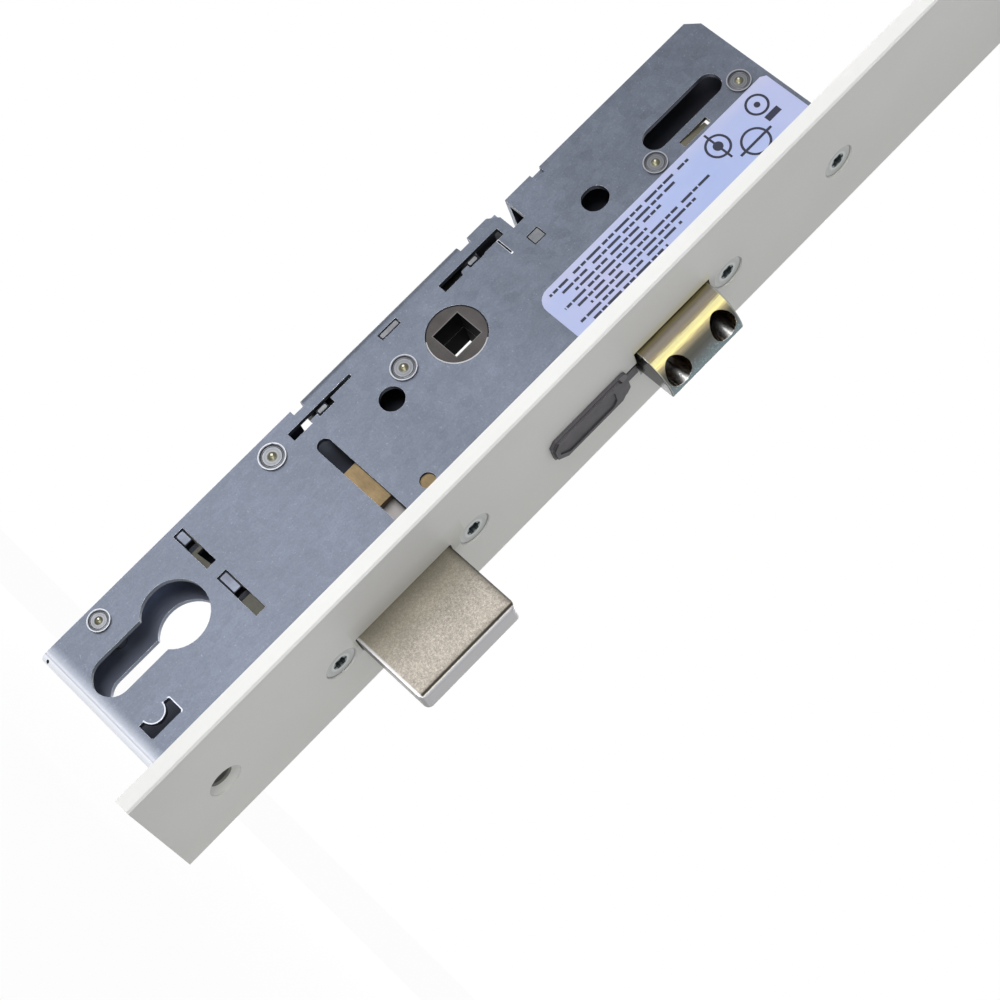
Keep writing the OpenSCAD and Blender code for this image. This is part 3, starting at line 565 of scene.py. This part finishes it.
def galvanised_material():
    """Rolled zinc-coated sheet: bluish grey, faint spangle, small scuffs along the rolling direction."""
    zinc = (0.112, 0.127, 0.162)
    scratched = (0.34, 0.37, 0.44)
    fold_highlight = (0.84, 0.86, 0.92)
    bright = (0.68, 0.70, 0.75)
    rubbed = (0.14, 0.13, 0.09)
    black = (0.01, 0.01, 0.012)
    recipe = Recipe("galvanised_sheet", zinc, 0.42, metallic=0.8)
    x, y, z = recipe.axes()
    spangle = recipe.cells(2.6)
    cloud = recipe.noise(16, detail=2.0)
    fine = recipe.noise(0.5, detail=5.0, roughness=0.7)
    scuff = recipe.noise(1.4, stretch=(1.6, 1, 0.5), detail=5.0, roughness=0.7)
    tone = spangle * 0.10 + cloud * 0.30 + fine * 0.40 + scuff * 0.20
    worn_and_lit = recipe.ramp(tone, [(0.30, shade(zinc, 0.66)), (0.50, zinc), (0.70, shade(zinc, 1.42))])
    nicks = recipe.levels(recipe.noise(0.6, detail=6.0, roughness=0.75), [(0.60, 0), (0.70, 1)])
    worn_and_lit = recipe.mix(nicks * 0.5, worn_and_lit, scratched)
    # Painted light: the far plate and the walls are made paler than the plate in front
    worn_and_lit = recipe.mix(recipe.fade(y, PALE_START, PALE_END), worn_and_lit, (1.6, 1.6, 1.6), blend="MULTIPLY")
    # A painted highlight runs along the fold under the case
    fold = recipe.levels((z - CASE_BOTTOM) / FOLD_HEIGHT, [
        (0.0, 1), (0.27, 1), (0.32, 0.45), (0.52, 0.20), (0.8, 0.05), (1.0, 0)])
    outside = recipe.mix(fold, worn_and_lit, fold_highlight)
    # The thin slit beside the label catches the light
    slit = recipe.box(x, z, SLIT, SLIT_HALF) * (y < SLIT_FACE)
    outside = recipe.mix(slit * 0.9, outside, bright)
    # Rubbed tongue, and a relief hole in the folded corner painted black as shade
    tongue = recipe.box(x, z, TONGUE, TONGUE_HALF) * (y > OUTER_FACE)
    outside = recipe.mix(tongue * 0.9, outside, rubbed)
    relief = (recipe.distance(x, z, CORNER_HOLE) < CORNER_HOLE_RADIUS) * (y < 0)
    outside = recipe.mix(relief, outside, black)
    # Painted highlight along the hooked hole's curve and its upper end
    curve = recipe.distance(x, z, HOOK_CORNER) - HOOK_RADIUS
    hook = recipe.rounded_box(x, z, HOOK_MIDDLE, HOOK_HALF, HOOK_ROUND) < HOOK_RIM
    hook = hook * (curve > HOOK_CURVE_RIM[0]) * (curve < HOOK_CURVE_RIM[1]).most(z > HOOK_TOP)
    hook = hook * (y < OUTER_FACE)
    outside = recipe.mix(hook * 0.75, outside, (0.50, 0.52, 0.58))
    # Painted shade makes the inside dark, brown in places; round the cylinder, painted light makes the far plate pale
    inside_shade = recipe.mix(cloud * 0.5, (0.085, 0.097, 0.135), (0.11, 0.085, 0.075))
    lit_patch = (y > 0) * (x < LIT_PATCH_SIDE) * z.between(CASE_BOTTOM, LIT_PATCH_TOP)
    inside_shade = recipe.mix(lit_patch, inside_shade, (0.34, 0.38, 0.50))
    # The painted shade is darkest behind the hooked hole and the slot
    darkest = sum_of([x.between(*wide) * z.between(*high) for wide, high in DARK_PLACES])
    inside_shade = recipe.mix(darkest * 0.85, inside_shade, (0.006, 0.007, 0.013))
    inside = (abs(y) < INNER_FACE + SKIN) * (x > BACK_INSIDE - SKIN)
    inside = inside * z.between(CASE_BOTTOM + SHEET_INSET, CASE_TOP - SHEET_INSET)
    color = recipe.mix(inside * 0.92, outside, inside_shade)
    # A painted glint on the back wall shows in the end of the slot
    glint = recipe.rounded_box(y, z, SLOT_GLINT, SLOT_GLINT_HALF, SLOT_GLINT_ROUND) < 0
    glint = glint * x.between(*SLOT_GLINT_DEPTH)
    color = recipe.mix(glint * 0.9, color, (0.95, 0.96, 1.0))
    recipe.set("Metallic", 0.8 - glint * 0.8)
    recipe.bump(fine * 0.6 + scuff * 0.4, 0.3, 0.03)
    return recipe.finish(color, 0.36 + cloud * 0.12 + spangle * 0.05)


def cut_edge_material():
    """Edges of the sheet that the punch left bare, painted bright as a highlight."""
    bright = (0.72, 0.75, 0.82)
    recipe = Recipe("punched_edge", bright, 0.3, metallic=0.9)
    grain = recipe.noise(0.5, detail=3.0)
    return recipe.finish(recipe.tones(grain, bright, (0.3, 0.72), (0.7, 1.25)), 0.24 + grain * 0.16)


def strip_material():
    """Pale grey satin paint of the faceplate, with a faint mottle."""
    paint = (0.80, 0.80, 0.785)
    recipe = Recipe("painted_strip", paint, 0.45, specular=0.4)
    x, y, z = recipe.axes()
    cloud = recipe.noise(40, detail=2.0)
    grain = recipe.noise(0.9, detail=4.0)
    color = recipe.tones(cloud, paint, (0.3, 0.95), (0.7, 1))
    color = recipe.mix(grain * 0.06, color, (0.55, 0.55, 0.52))
    # Reflections of the bolt and of the latch on the paint beside them
    beside_bolt = z.between(BOLT_BOTTOM - GLOW_MARGIN, BOLT_BOTTOM + BOLT_HEIGHT + BOLT_GLOW_TOP)
    beside_bolt = beside_bolt * recipe.fade(y, *BOLT_GLOW) * (y < 0)
    color = recipe.mix(beside_bolt * 0.45, color, (0.52, 0.51, 0.43))
    beside_latch = z.between(LATCH_BOTTOM - GLOW_MARGIN, LATCH_BOTTOM + LATCH_HEIGHT + GLOW_MARGIN)
    beside_latch = beside_latch * recipe.fade(y, *LATCH_GLOW) * (y < 0)
    color = recipe.mix(beside_latch * 0.6, color, (0.74, 0.66, 0.34))
    # Painted shade darkens the inside of the empty hole
    hole = recipe.distance(y, z, (0, EMPTY_HOLE)) < EMPTY_HOLE_REACH
    color = recipe.mix(hole * (x < EMPTY_HOLE_FRONT), color, (0.05, 0.047, 0.04))
    # Slightly darker towards the far edge
    color = recipe.mix(recipe.fade(y, *STRIP_DARKENS) * 0.4, color, (0.68, 0.69, 0.64))
    recipe.bump(grain, 0.15, 0.02)
    return recipe.finish(color, 0.42 + grain * 0.1)


def zinc_material(name="zinc_steel", color=(0.17, 0.178, 0.19), size=1.2):
    """Bright zinc plate on pressed steel."""
    recipe = Recipe(name, color, 0.3, metallic=0.9)
    cloud = recipe.noise(size * 4, detail=3.0)
    grain = recipe.noise(size * 0.3, detail=4.0)
    recipe.bump(grain, 0.2, 0.02)
    tone = recipe.tones(cloud * 0.7 + grain * 0.3, color, (0.35, 0.78), (0.65, 1.12))
    return recipe.finish(tone, 0.24 + grain * 0.16)


def rivet_material():
    """Riveted heads with painted light: a bright painted highlight on the rolled rim, a grey dish, and a greenish
    painted reflection on the domed middle.
    """
    recipe = Recipe("rivet_zinc", (0.33, 0.34, 0.34), 0.25, metallic=0.9)
    x, _, z = recipe.axes()

    def share_of_radius(shift):
        """Distance from the nearest rivet's shifted middle, as a share of its radius."""
        return least_of([
            recipe.distance(x, z, (middle[0] + shift[0], middle[1] + shift[1])) / radius
            for middle, radius in RIVETS])

    # Painted light in rings: highlight on the rim, shade in the groove, greenish reflection on the dome
    tone = recipe.ramp(share_of_radius((0, 0)), [
        (0.0, (0.16, 0.15, 0.08)),
        (0.22, (0.11, 0.105, 0.06)),
        (0.33, (0.06, 0.06, 0.05)),
        (0.40, (0.19, 0.195, 0.20)),
        (0.52, (0.13, 0.135, 0.145)),
        (0.66, (0.19, 0.20, 0.22)),
        (0.76, (0.11, 0.115, 0.13)),
        (0.84, (0.055, 0.058, 0.07)),
        (0.90, (0.12, 0.125, 0.14)),
        (0.94, (0.34, 0.35, 0.38)),
        (0.98, (0.38, 0.39, 0.42)),
        (1.0, (0.16, 0.165, 0.18))])
    grain = recipe.noise(1.2, detail=2.0)
    worn_and_lit = recipe.mix(grain * 0.3, tone, (0.13, 0.13, 0.14))
    glint = share_of_radius(RIVET_GLINT_SHIFT) < RIVET_GLINT_SHARE
    return recipe.finish(recipe.mix(glint, worn_and_lit, (0.75, 0.74, 0.64)), 0.3 + grain * 0.12)


def screw_material():
    """Faceplate screws: zinc heads with a dark six-lobed drive."""
    recipe = Recipe("screw_zinc", (0.36, 0.38, 0.38), 0.3, metallic=0.85)
    _, y, z = recipe.axes()
    away = least_of([recipe.distance(y, z, (0, row)) for row in SCREW_ROWS])
    tone = recipe.ramp(away / SCREW_REACH, [
        (0.0, (0.09, 0.11, 0.12)),
        (0.30, (0.13, 0.16, 0.175)),
        (0.39, (0.14, 0.165, 0.17)),
        (0.43, (0.52, 0.54, 0.53)),
        (0.60, (0.34, 0.355, 0.345)),
        (0.82, (0.43, 0.44, 0.43)),
        (0.9, (0.24, 0.245, 0.24))])
    grain = recipe.noise(0.35, detail=3.0)
    return recipe.finish(recipe.mix(grain * 0.4, tone, (0.30, 0.32, 0.32)), 0.24 + grain * 0.16)


def sintered_material():
    """Dark sintered steel of the follower: fine pores and a warm brown tone."""
    steel = (0.056, 0.050, 0.050)
    recipe = Recipe("sintered_steel", steel, 0.5, metallic=0.6)
    x, _, z = recipe.axes()
    pores = recipe.noise(0.35, detail=5.0, roughness=0.7)
    cloud = recipe.noise(5, detail=2.0)
    worn_and_lit = recipe.tones(pores * 0.5 + cloud * 0.5, steel, (0.35, 0.7), (0.7, 1.35))
    # Pale edge round the square hole
    side = abs(x).most(abs(z - SPINDLE_HEIGHT))
    worn_and_lit = recipe.mix(side.between(SQUARE_HALF, SQUARE_HALF + SQUARE_EDGE) * 0.8, worn_and_lit, (0.17, 0.165, 0.16))
    # Painted light on the hub's rim: painted shade makes it black, and a painted highlight makes it bright along its
    # lower half
    rim = recipe.distance(x, z, (0, SPINDLE_HEIGHT)) > HUB_RADIUS - HUB_EDGE
    lower = (z - SPINDLE_HEIGHT - x) < HUB_LOWER
    worn_and_lit = recipe.mix(rim, worn_and_lit, recipe.mix(lower, (0.008, 0.008, 0.01), (0.42, 0.42, 0.43)))
    # Painted shade makes the walls of the square hole black
    inside = side < SQUARE_HALF + SQUARE_SKIN
    recipe.set("Metallic", 0.6 + inside * 0.4)
    recipe.bump(pores, 0.4, 0.04)
    color = recipe.mix(inside, worn_and_lit, (0.003, 0.003, 0.004))
    return recipe.finish(color, 0.42 + pores * 0.2 + inside * 0.35)


def satin_nickel_material():
    """Satin nickel on the cast deadbolt: coarse sparkling grain over a warm grey."""
    nickel = (0.202, 0.184, 0.160)
    recipe = Recipe("satin_nickel", nickel, 0.38, metallic=0.9)
    x, y, z = recipe.axes()
    grain = recipe.noise(0.55, detail=5.0, roughness=0.75)
    speck = recipe.noise(0.22, detail=3.0)
    cloud = recipe.noise(14, detail=2.0)
    tone = grain * 0.5 + speck * 0.35 + cloud * 0.15
    face = recipe.ramp(tone, [(0.38, shade(nickel, 0.5)), (0.5, nickel), (0.62, shade(nickel, 1.7))])
    # Painted shade, olive and smoother, where it comes out of the faceplate
    face = recipe.mix(recipe.fade(x, BACKSET + OLIVE_REACH, BACKSET) * 0.75, face, (0.20, 0.185, 0.135))
    # Its rear end, which shows in the slot beside the lever, is paler
    face = recipe.mix((x < BACKSET - BOLT_REAR) * 0.85, face, (0.16, 0.155, 0.16))
    # A painted highlight on the rounded tip, which is smoother and bluer
    tip = recipe.fade(x - BOLT_TIP, *BOLT_TIP_TONE)
    face = recipe.mix(tip * 0.9, face, (0.44, 0.44, 0.455))
    # Painted dark reflections as lines on the near side, where the roundings of the tip and of the upper side start
    tip_line = recipe.levels((x - (BOLT_TIP + BOLT_TIP_LINE)) / BOLT_LINE_WIDTH, [
        (0.0, 0), (0.45, 0.3), (0.62, 1), (0.84, 1), (0.95, 0)])
    top_line = recipe.levels((z - (BOLT_BOTTOM + BOLT_HEIGHT + BOLT_TOP_LINE)) / BOLT_LINE_WIDTH, [
        (0.0, 0), (0.6, 0.4), (0.9, 1)])
    face = recipe.mix(tip_line.most(top_line) * (y < BOLT_SIDE_END), face, (0.018, 0.016, 0.012))
    # A painted highlight on the lower side, brightest at its near edge
    low = recipe.levels((z - BOLT_BOTTOM) / BOLT_UNDER_WIDTH, [
        (0.0, 0.35), (0.12, 1), (0.38, 0.9), (0.7, 0)])
    near = recipe.levels(y - BOLT_SIDE, [(0.0, 1), (0.30, 1), (0.62, 0)])
    underside_highlight = recipe.mix(near, (0.29, 0.285, 0.30), (0.56, 0.56, 0.58))
    recipe.bump(grain * 0.6 + speck * 0.4, 0.8, 0.07)
    return recipe.finish(recipe.mix(low * 0.85, face, underside_highlight), 0.3 + grain * 0.2)


def brass_material():
    """Plain brass, rubbed dull."""
    brass = (0.155, 0.112, 0.058)
    recipe = Recipe("brass_part", brass, 0.4, metallic=0.8)
    cloud = recipe.noise(3, detail=3.0)
    grain = recipe.noise(0.4, stretch=(0.3, 1, 1), detail=4.0)
    recipe.bump(grain, 0.25, 0.03)
    tone = recipe.tones(cloud * 0.6 + grain * 0.4, brass, (0.35, 0.7), (0.65, 1.25))
    return recipe.finish(tone, 0.34 + grain * 0.16)


def tab_material(name, plate, light, tabs):
    """Pressed part whose tabs show in the cover's windows: tab ends painted bright as lit, their sides painted dark as
    shade, duller plate.
    """
    recipe = Recipe(name, plate, 0.4, metallic=0.85)
    x, y, z = recipe.axes()
    cloud = recipe.noise(3, detail=3.0)
    grain = recipe.noise(0.35, detail=4.0)
    color = recipe.tones(cloud * 0.6 + grain * 0.4, plate, (0.35, 0.75), (0.65, 1.25))
    # Painted shade darkens the sides, and painted light brightens the tab ends inside a margin of painted shade
    color = recipe.mix(y < PLATE_FACE, color, (0.008, 0.009, 0.014))
    ends = recipe.tones(cloud, light, (0.35, 0.8), (0.65, 1.15))
    within = least_of([recipe.rounded_box(x, z, middle, half, TAB_ROUND) for middle, half in tabs])
    recipe.bump(grain, 0.2, 0.02)
    color = recipe.mix((y < TAB_END) * (within < -TAB_MARGIN), color, ends)
    return recipe.finish(color, 0.34 + grain * 0.16)


def bright_nickel_material():
    """Latch head: nickel polished along its height, with painted reflections in yellow and cyan grey from the faceplate
    to the tip, and screw pockets in painted shade.
    """
    recipe = Recipe("polished_nickel", (0.24, 0.22, 0.19), 0.2, metallic=1.0)
    x, y, z = recipe.axes()
    lines = recipe.noise(0.5, stretch=(2.5, 2.5, 0.12), detail=4.0)
    cloud = recipe.noise(4, stretch=(1, 1, 0.5), detail=3.0)
    # Way round the bevel from the faceplate to the tip, from 0 to 1
    way = (x - BACKSET) / (2 * LATCH_THROW) + (y - LATCH_SIDE) / (2 * LATCH_THICKNESS)
    way = way + lines * 0.10 - 0.05
    # Painted reflections round the bevel: dark by the faceplate, a bright yellow highlight, then cyan grey at the tip
    bands = recipe.ramp(way, [
        (0.0, (0.09, 0.075, 0.03)),
        (0.04, (0.32, 0.27, 0.13)),
        (0.09, (0.27, 0.24, 0.20)),
        (0.17, (0.24, 0.21, 0.18)),
        (0.22, (0.36, 0.30, 0.17)),
        (0.26, (0.98, 0.90, 0.46)),
        (0.34, (0.95, 0.84, 0.36)),
        (0.41, (0.34, 0.28, 0.16)),
        (0.50, (0.12, 0.112, 0.085)),
        (0.62, (0.09, 0.09, 0.08)),
        (0.72, (0.13, 0.14, 0.14)),
        (0.82, (0.15, 0.185, 0.20)),
        (0.92, (0.16, 0.22, 0.24)),
        (1.0, (0.12, 0.14, 0.15))])
    color = recipe.mix(cloud * 0.25, bands, (0.15, 0.15, 0.13))
    flecks = recipe.noise(0.35, detail=3.0) > 0.62
    color = recipe.mix(flecks * (way > 0.72) * 0.5, color, (0.45, 0.55, 0.55))

    def near_ends(reach):
        """1 at the lower and upper ends, as far as a reach."""
        return (z < LATCH_BOTTOM + reach) + (z > LATCH_BOTTOM + LATCH_HEIGHT - reach)

    # Light lines along the tip and round the ends, whose flats are dark
    rim = (y > LATCH_TIP_SIDE) + near_ends(LATCH_RIM)
    color = recipe.mix(rim.least(1) * 0.6, color, (0.40, 0.42, 0.38))
    flat = recipe.mix(cloud * 0.8, (0.085, 0.083, 0.09), (0.025, 0.025, 0.024))
    color = recipe.mix(near_ends(LATCH_FLAT_END), color, flat)
    # Screw pockets in painted shade with brown streaks, golden painted glints on one side and a painted highlight on
    # the far one
    streaks = recipe.noise(0.8, stretch=(0.15, 1, 1), detail=3.0)
    pocket = recipe.ramp((y + LATCH_POCKET) / (2 * LATCH_POCKET) + streaks * 0.7 - 0.35, [
        (0.0, (0.02, 0.012, 0.01)),
        (0.26, (0.06, 0.03, 0.015)),
        (0.33, (0.55, 0.34, 0.13)),
        (0.39, (0.05, 0.028, 0.014)),
        (0.52, (0.03, 0.016, 0.01)),
        (0.58, (0.50, 0.31, 0.12)),
        (0.64, (0.06, 0.034, 0.016)),
        (0.74, (0.04, 0.026, 0.016)),
        (0.80, (0.45, 0.34, 0.20)),
        (0.86, (0.07, 0.052, 0.035)),
        (0.95, (0.75, 0.75, 0.74))])
    away = least_of([recipe.distance(y, z, (LATCH_SCREW_Y, height)) for height in LATCH_SCREWS])
    color = recipe.mix(away < LATCH_POCKET_EDGE, color, pocket)
    recipe.bump(lines, 0.15, 0.02)
    return recipe.finish(color, 0.16 + lines * 0.12)


def slider_material():
    """Dark grey die-cast slider with a satin coat."""
    grey = (0.056, 0.052, 0.058)
    recipe = Recipe("dark_slider", grey, 0.45, metallic=0.35, specular=0.35)
    x, y, _ = recipe.axes()
    grain = recipe.noise(0.4, detail=4.0)
    cloud = recipe.noise(4, detail=2.0)
    color = recipe.tones(grain * 0.4 + cloud * 0.6, grey, (0.35, 0.75), (0.68, 1.4))
    # Painted light makes its side and its foot lighter
    rubbed = (y < SLIDER_SIDE).most((x < SLIDER_FOOT[0]) * (y < SLIDER_FOOT[1]))
    recipe.bump(grain, 0.3, 0.03)
    return recipe.finish(recipe.mix(rubbed * 0.8, color, (0.125, 0.12, 0.13)), 0.38 + grain * 0.16)


def label_material():
    """Lavender film with plain dark dashes in rows, and plain rings and bars above them."""
    film = (0.36, 0.41, 0.62)
    ink = (0.014, 0.016, 0.04)
    recipe = Recipe("label_film", film, 0.45, specular=0.4)
    x, _, z = recipe.axes()

    def dashes(row):
        """One row of dashes of unlike lengths."""
        low = BAR_LOW + BAR_LOW_STEP * (row % 3)
        high = BAR_HIGH - BAR_HIGH_STEP * (row % 4)
        wave = (z * WAVE_RATE + row * WAVE_SHIFT).sine()
        dash = (z * DASH_RATE + wave * WAVE_HEIGHT + row * DASH_SHIFT).fraction()
        bar = abs(x - (BAR_FIRST + row * BAR_PITCH)) < BAR_HALF
        return bar * z.between(low, high) * (dash > DASH_GAP)

    def ring(middle, radius, heart):
        """A ring round a dot; heart is the dot's radius."""
        away = recipe.distance(x, z, middle)
        return (abs(away - radius) < RING_HALF) + (away < heart)

    printed = sum_of([
        *(dashes(row) for row in range(BAR_ROWS)),
        *(ring(*sizes) for sizes in RINGS),
        *(recipe.box(x, z, middle, half) for middle, half in BARS)])
    cloud = recipe.noise(22, detail=2.0)
    paper = recipe.ramp(cloud, [(0.3, (0.37, 0.45, 0.72)), (0.7, (0.46, 0.48, 0.70))])
    # Paler along its edge away from the faceplate
    pale = recipe.fade(x, LABEL_EDGE + LABEL_PALE, LABEL_EDGE)
    paper = recipe.mix(pale * 0.5, paper, (0.52, 0.52, 0.66))
    return recipe.finish(recipe.mix(printed.least(1), paper, ink), 0.38 + cloud * 0.1)


def dress(material, *names):
    """Gives CAD nodes their material."""
    for name in names:
        slots = frame["nodes"][name].data.materials
        slots.clear()
        slots.append(material)


def dress_nodes():
    """Materials of all the CAD nodes."""
    dress(galvanised_material(), "case_cover", "case_base")
    dress(strip_material(), "faceplate")
    dress(rivet_material(), "case_rivets")
    dress(screw_material(), "faceplate_screws")
    dress(zinc_material(), "latch_stop_bracket", "lever_pivot", "latch_spring_post",
          "tumbler_spring_post", "bar_pins", "snib_keeper")
    dress(zinc_material("plated_bars", (0.11, 0.113, 0.12), 2.0),
          "drive_slide", "upper_drive_bar", "lower_drive_bar", "latch_carrier")
    dress(zinc_material("spring_wire", (0.22, 0.22, 0.23), 0.4), "latch_spring", "tumbler_spring")
    dress(tab_material("guide_zinc", (0.06, 0.06, 0.06), (0.15, 0.155, 0.165), GUIDE_TABS), "rack_guide")
    dress(tab_material("tumbler_zinc", (0.044, 0.043, 0.036), (0.125, 0.138, 0.175), TUMBLER_TABS),
          "tumbler_slide")
    dress(sintered_material(), "drive_follower", "latch_follower", "latch_screws")
    dress(brass_material(), "screw_blocks", "deadbolt_lever")
    dress(satin_nickel_material(), "deadbolt")
    dress(bright_nickel_material(), "latch_head")
    dress(slider_material(), "snib_slider")
    dress(label_material(), "info_label")


def body_of(name):
    """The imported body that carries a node."""
    for body, members in frame["record"]["behaviour"]["bodies"].items():
        if name in members:
            return body
    return None


def slot_of(name):
    """The record's material slot of a node."""
    for row in frame["record"]["subparts"]:
        if row["node"] == name:
            return row["material_slot"]
    return None


def eased_copy(name, width, edge=None, joined=True):
    """A CAD node's shape with its sharp edges eased, which then stands for the node."""
    source = frame["nodes"][name]
    piece = source.copy()
    piece.data = source.data.copy()
    piece.name = name + "_eased"
    piece.parent = None
    for key in list(piece.keys()):
        del piece[key]
    bpy.context.scene.collection.objects.link(piece)
    make_active(piece)
    bpy.ops.object.mode_set(mode="EDIT")
    bpy.ops.mesh.select_all(action="SELECT")
    bpy.ops.mesh.remove_doubles(threshold=MERGE_DISTANCE)
    if joined:
        bpy.ops.mesh.dissolve_limited(angle_limit=math.radians(FLAT_ANGLE))
    bpy.ops.object.mode_set(mode="OBJECT")
    if width:
        bevel = piece.modifiers.new("ease", "BEVEL")
        bevel.width = width * MM
        bevel.segments = EASE_SEGMENTS
        bevel.limit_method = "ANGLE"
        bevel.angle_limit = math.radians(SHARP_ANGLE)
        if edge:
            piece.data.materials.append(edge)
            bevel.material = 1
        apply_modifiers(piece)
    make_active(piece)
    bpy.ops.object.transform_apply(location=True, rotation=True, scale=True)
    bpy.ops.object.shade_smooth_by_angle(angle=math.radians(SMOOTH_ANGLE))
    weighted = piece.modifiers.new("flat faces", "WEIGHTED_NORMAL")
    weighted.keep_sharp = True
    apply_modifiers(piece)
    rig.replaces(piece, name)
    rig.ride(piece, body_of(name))
    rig.slot(piece, slot_of(name))
    return piece


def squashed_spring(name, joint, travel, fixed_end):
    """A spring that shortens towards its fixed end as its joint moves; fixed_end is min or max along x."""
    piece = eased_copy(name, 0, joined=False)
    places = [vertex.co.x for vertex in piece.data.vertices]
    length = max(places) - min(places)
    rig.squash(piece, joint, axis=(1, 0, 0), anchor=(fixed_end(places), 0, 0), keep=1 - travel * MM / length)


def ease_edges():
    """Sheet, strip and castings with the small edge radii that catch the light."""
    cut = cut_edge_material()
    for name in ("case_cover", "case_base"):
        eased_copy(name, SHEET_EASE, cut)
    # The faceplate keeps its triangles, because joined ones fold over beside its many holes
    eased_copy("faceplate", STRIP_EASE, joined=False)
    for name, width in EASED_WIDTHS.items():
        eased_copy(name, width)
    eased_copy("tumbler_slide", SHEET_EASE, joined=False)
    squashed_spring("latch_spring", "latch_travel", LATCH_THROW, min)
    squashed_spring("tumbler_spring", "tumbler_travel", TUMBLER_THROW, max)


def add_camera():
    data = bpy.data.cameras.new("camera")
    data.lens = LENS
    data.sensor_width = SENSOR
    data.clip_start = NEAREST
    data.clip_end = FARTHEST
    camera = bpy.data.objects.new("camera", data)
    right, up, back = PICTURE_RIGHT, -PICTURE_DOWN, -PICTURE_DEPTH
    camera.matrix_world = Matrix((
        (right.x, up.x, back.x, CAMERA_PLACE.x),
        (right.y, up.y, back.y, CAMERA_PLACE.y),
        (right.z, up.z, back.z, CAMERA_PLACE.z),
        (0, 0, 0, 1)))
    bpy.context.scene.collection.objects.link(camera)
    bpy.context.scene.camera = camera


def add_area(name, place, size, power):
    """A rectangular lamp that points at the lock's middle."""
    data = bpy.data.lights.new(name, "AREA")
    data.shape = "RECTANGLE"
    data.size, data.size_y = size
    data.energy = power
    lamp = bpy.data.objects.new(name, data)
    lamp.location = place
    lamp.rotation_mode = "QUATERNION"
    lamp.rotation_quaternion = (Vector(LAMP_TARGET) - Vector(place)).to_track_quat("-Z", "Y")
    bpy.context.scene.collection.objects.link(lamp)


def seen_rays(tree):
    """Socket that is 1 for rays from the camera, off a mirror or through glass, else 0."""
    path = tree.nodes.new("ShaderNodeLightPath")
    seen = path.outputs["Is Camera Ray"]
    for kind in ("Is Glossy Ray", "Is Transmission Ray"):
        either = tree.nodes.new("ShaderNodeMath")
        either.operation = "MAXIMUM"
        tree.links.new(seen, either.inputs[0])
        tree.links.new(path.outputs[kind], either.inputs[1])
        seen = either.outputs[0]
    return seen


def add_world():
    """A plain light all round, which shows as white."""
    world = bpy.data.worlds.new("studio")
    bpy.context.scene.world = world
    world.use_nodes = True
    tree = world.node_tree
    back = tree.nodes["Background"]
    back.inputs["Color"].default_value = (1, 1, 1, 1)
    strength = tree.nodes.new("ShaderNodeMapRange")
    strength.inputs["To Min"].default_value = WORLD_LIGHT
    strength.inputs["To Max"].default_value = 1.0
    tree.links.new(seen_rays(tree), strength.inputs["Value"])
    tree.links.new(strength.outputs[0], back.inputs["Strength"])


def add_floor():
    """A floor that shows as white and keeps a faint shadow."""
    deselect()
    bpy.ops.mesh.primitive_plane_add(size=FLOOR_SIZE, location=(0, 0, FLOOR_HEIGHT))
    floor = bpy.context.object
    floor.name = "floor"
    recipe = Recipe("floor_white", (0.86, 0.86, 0.86), 0.9, specular=0.1)
    seen = Term(recipe, seen_rays(recipe.tree))
    plain = Term(recipe, recipe.shader.outputs[0])
    glow = recipe.node("ShaderNodeEmission", {}, (1, 1, 1, 1))
    both = recipe.node("ShaderNodeMixShader", {}, seen * FLOOR_GLOW, plain, glow)
    recipe.feed(recipe.tree.nodes["Material Output"].inputs[0], both)
    floor.data.materials.append(recipe.material)
    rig.stage(floor)


def add_studio():
    bpy.context.scene.view_settings.view_transform = "Standard"
    add_camera()
    add_world()
    add_floor()
    for lamp in LAMPS:
        add_area(*lamp)


add_studio()
dress_nodes()
ease_edges()

with open("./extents.json", "w") as size_file:
    json.dump({"cad": [list(corner) for corner in cad_bounds],
               "visual": [list(corner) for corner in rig.bounds()]}, size_file)
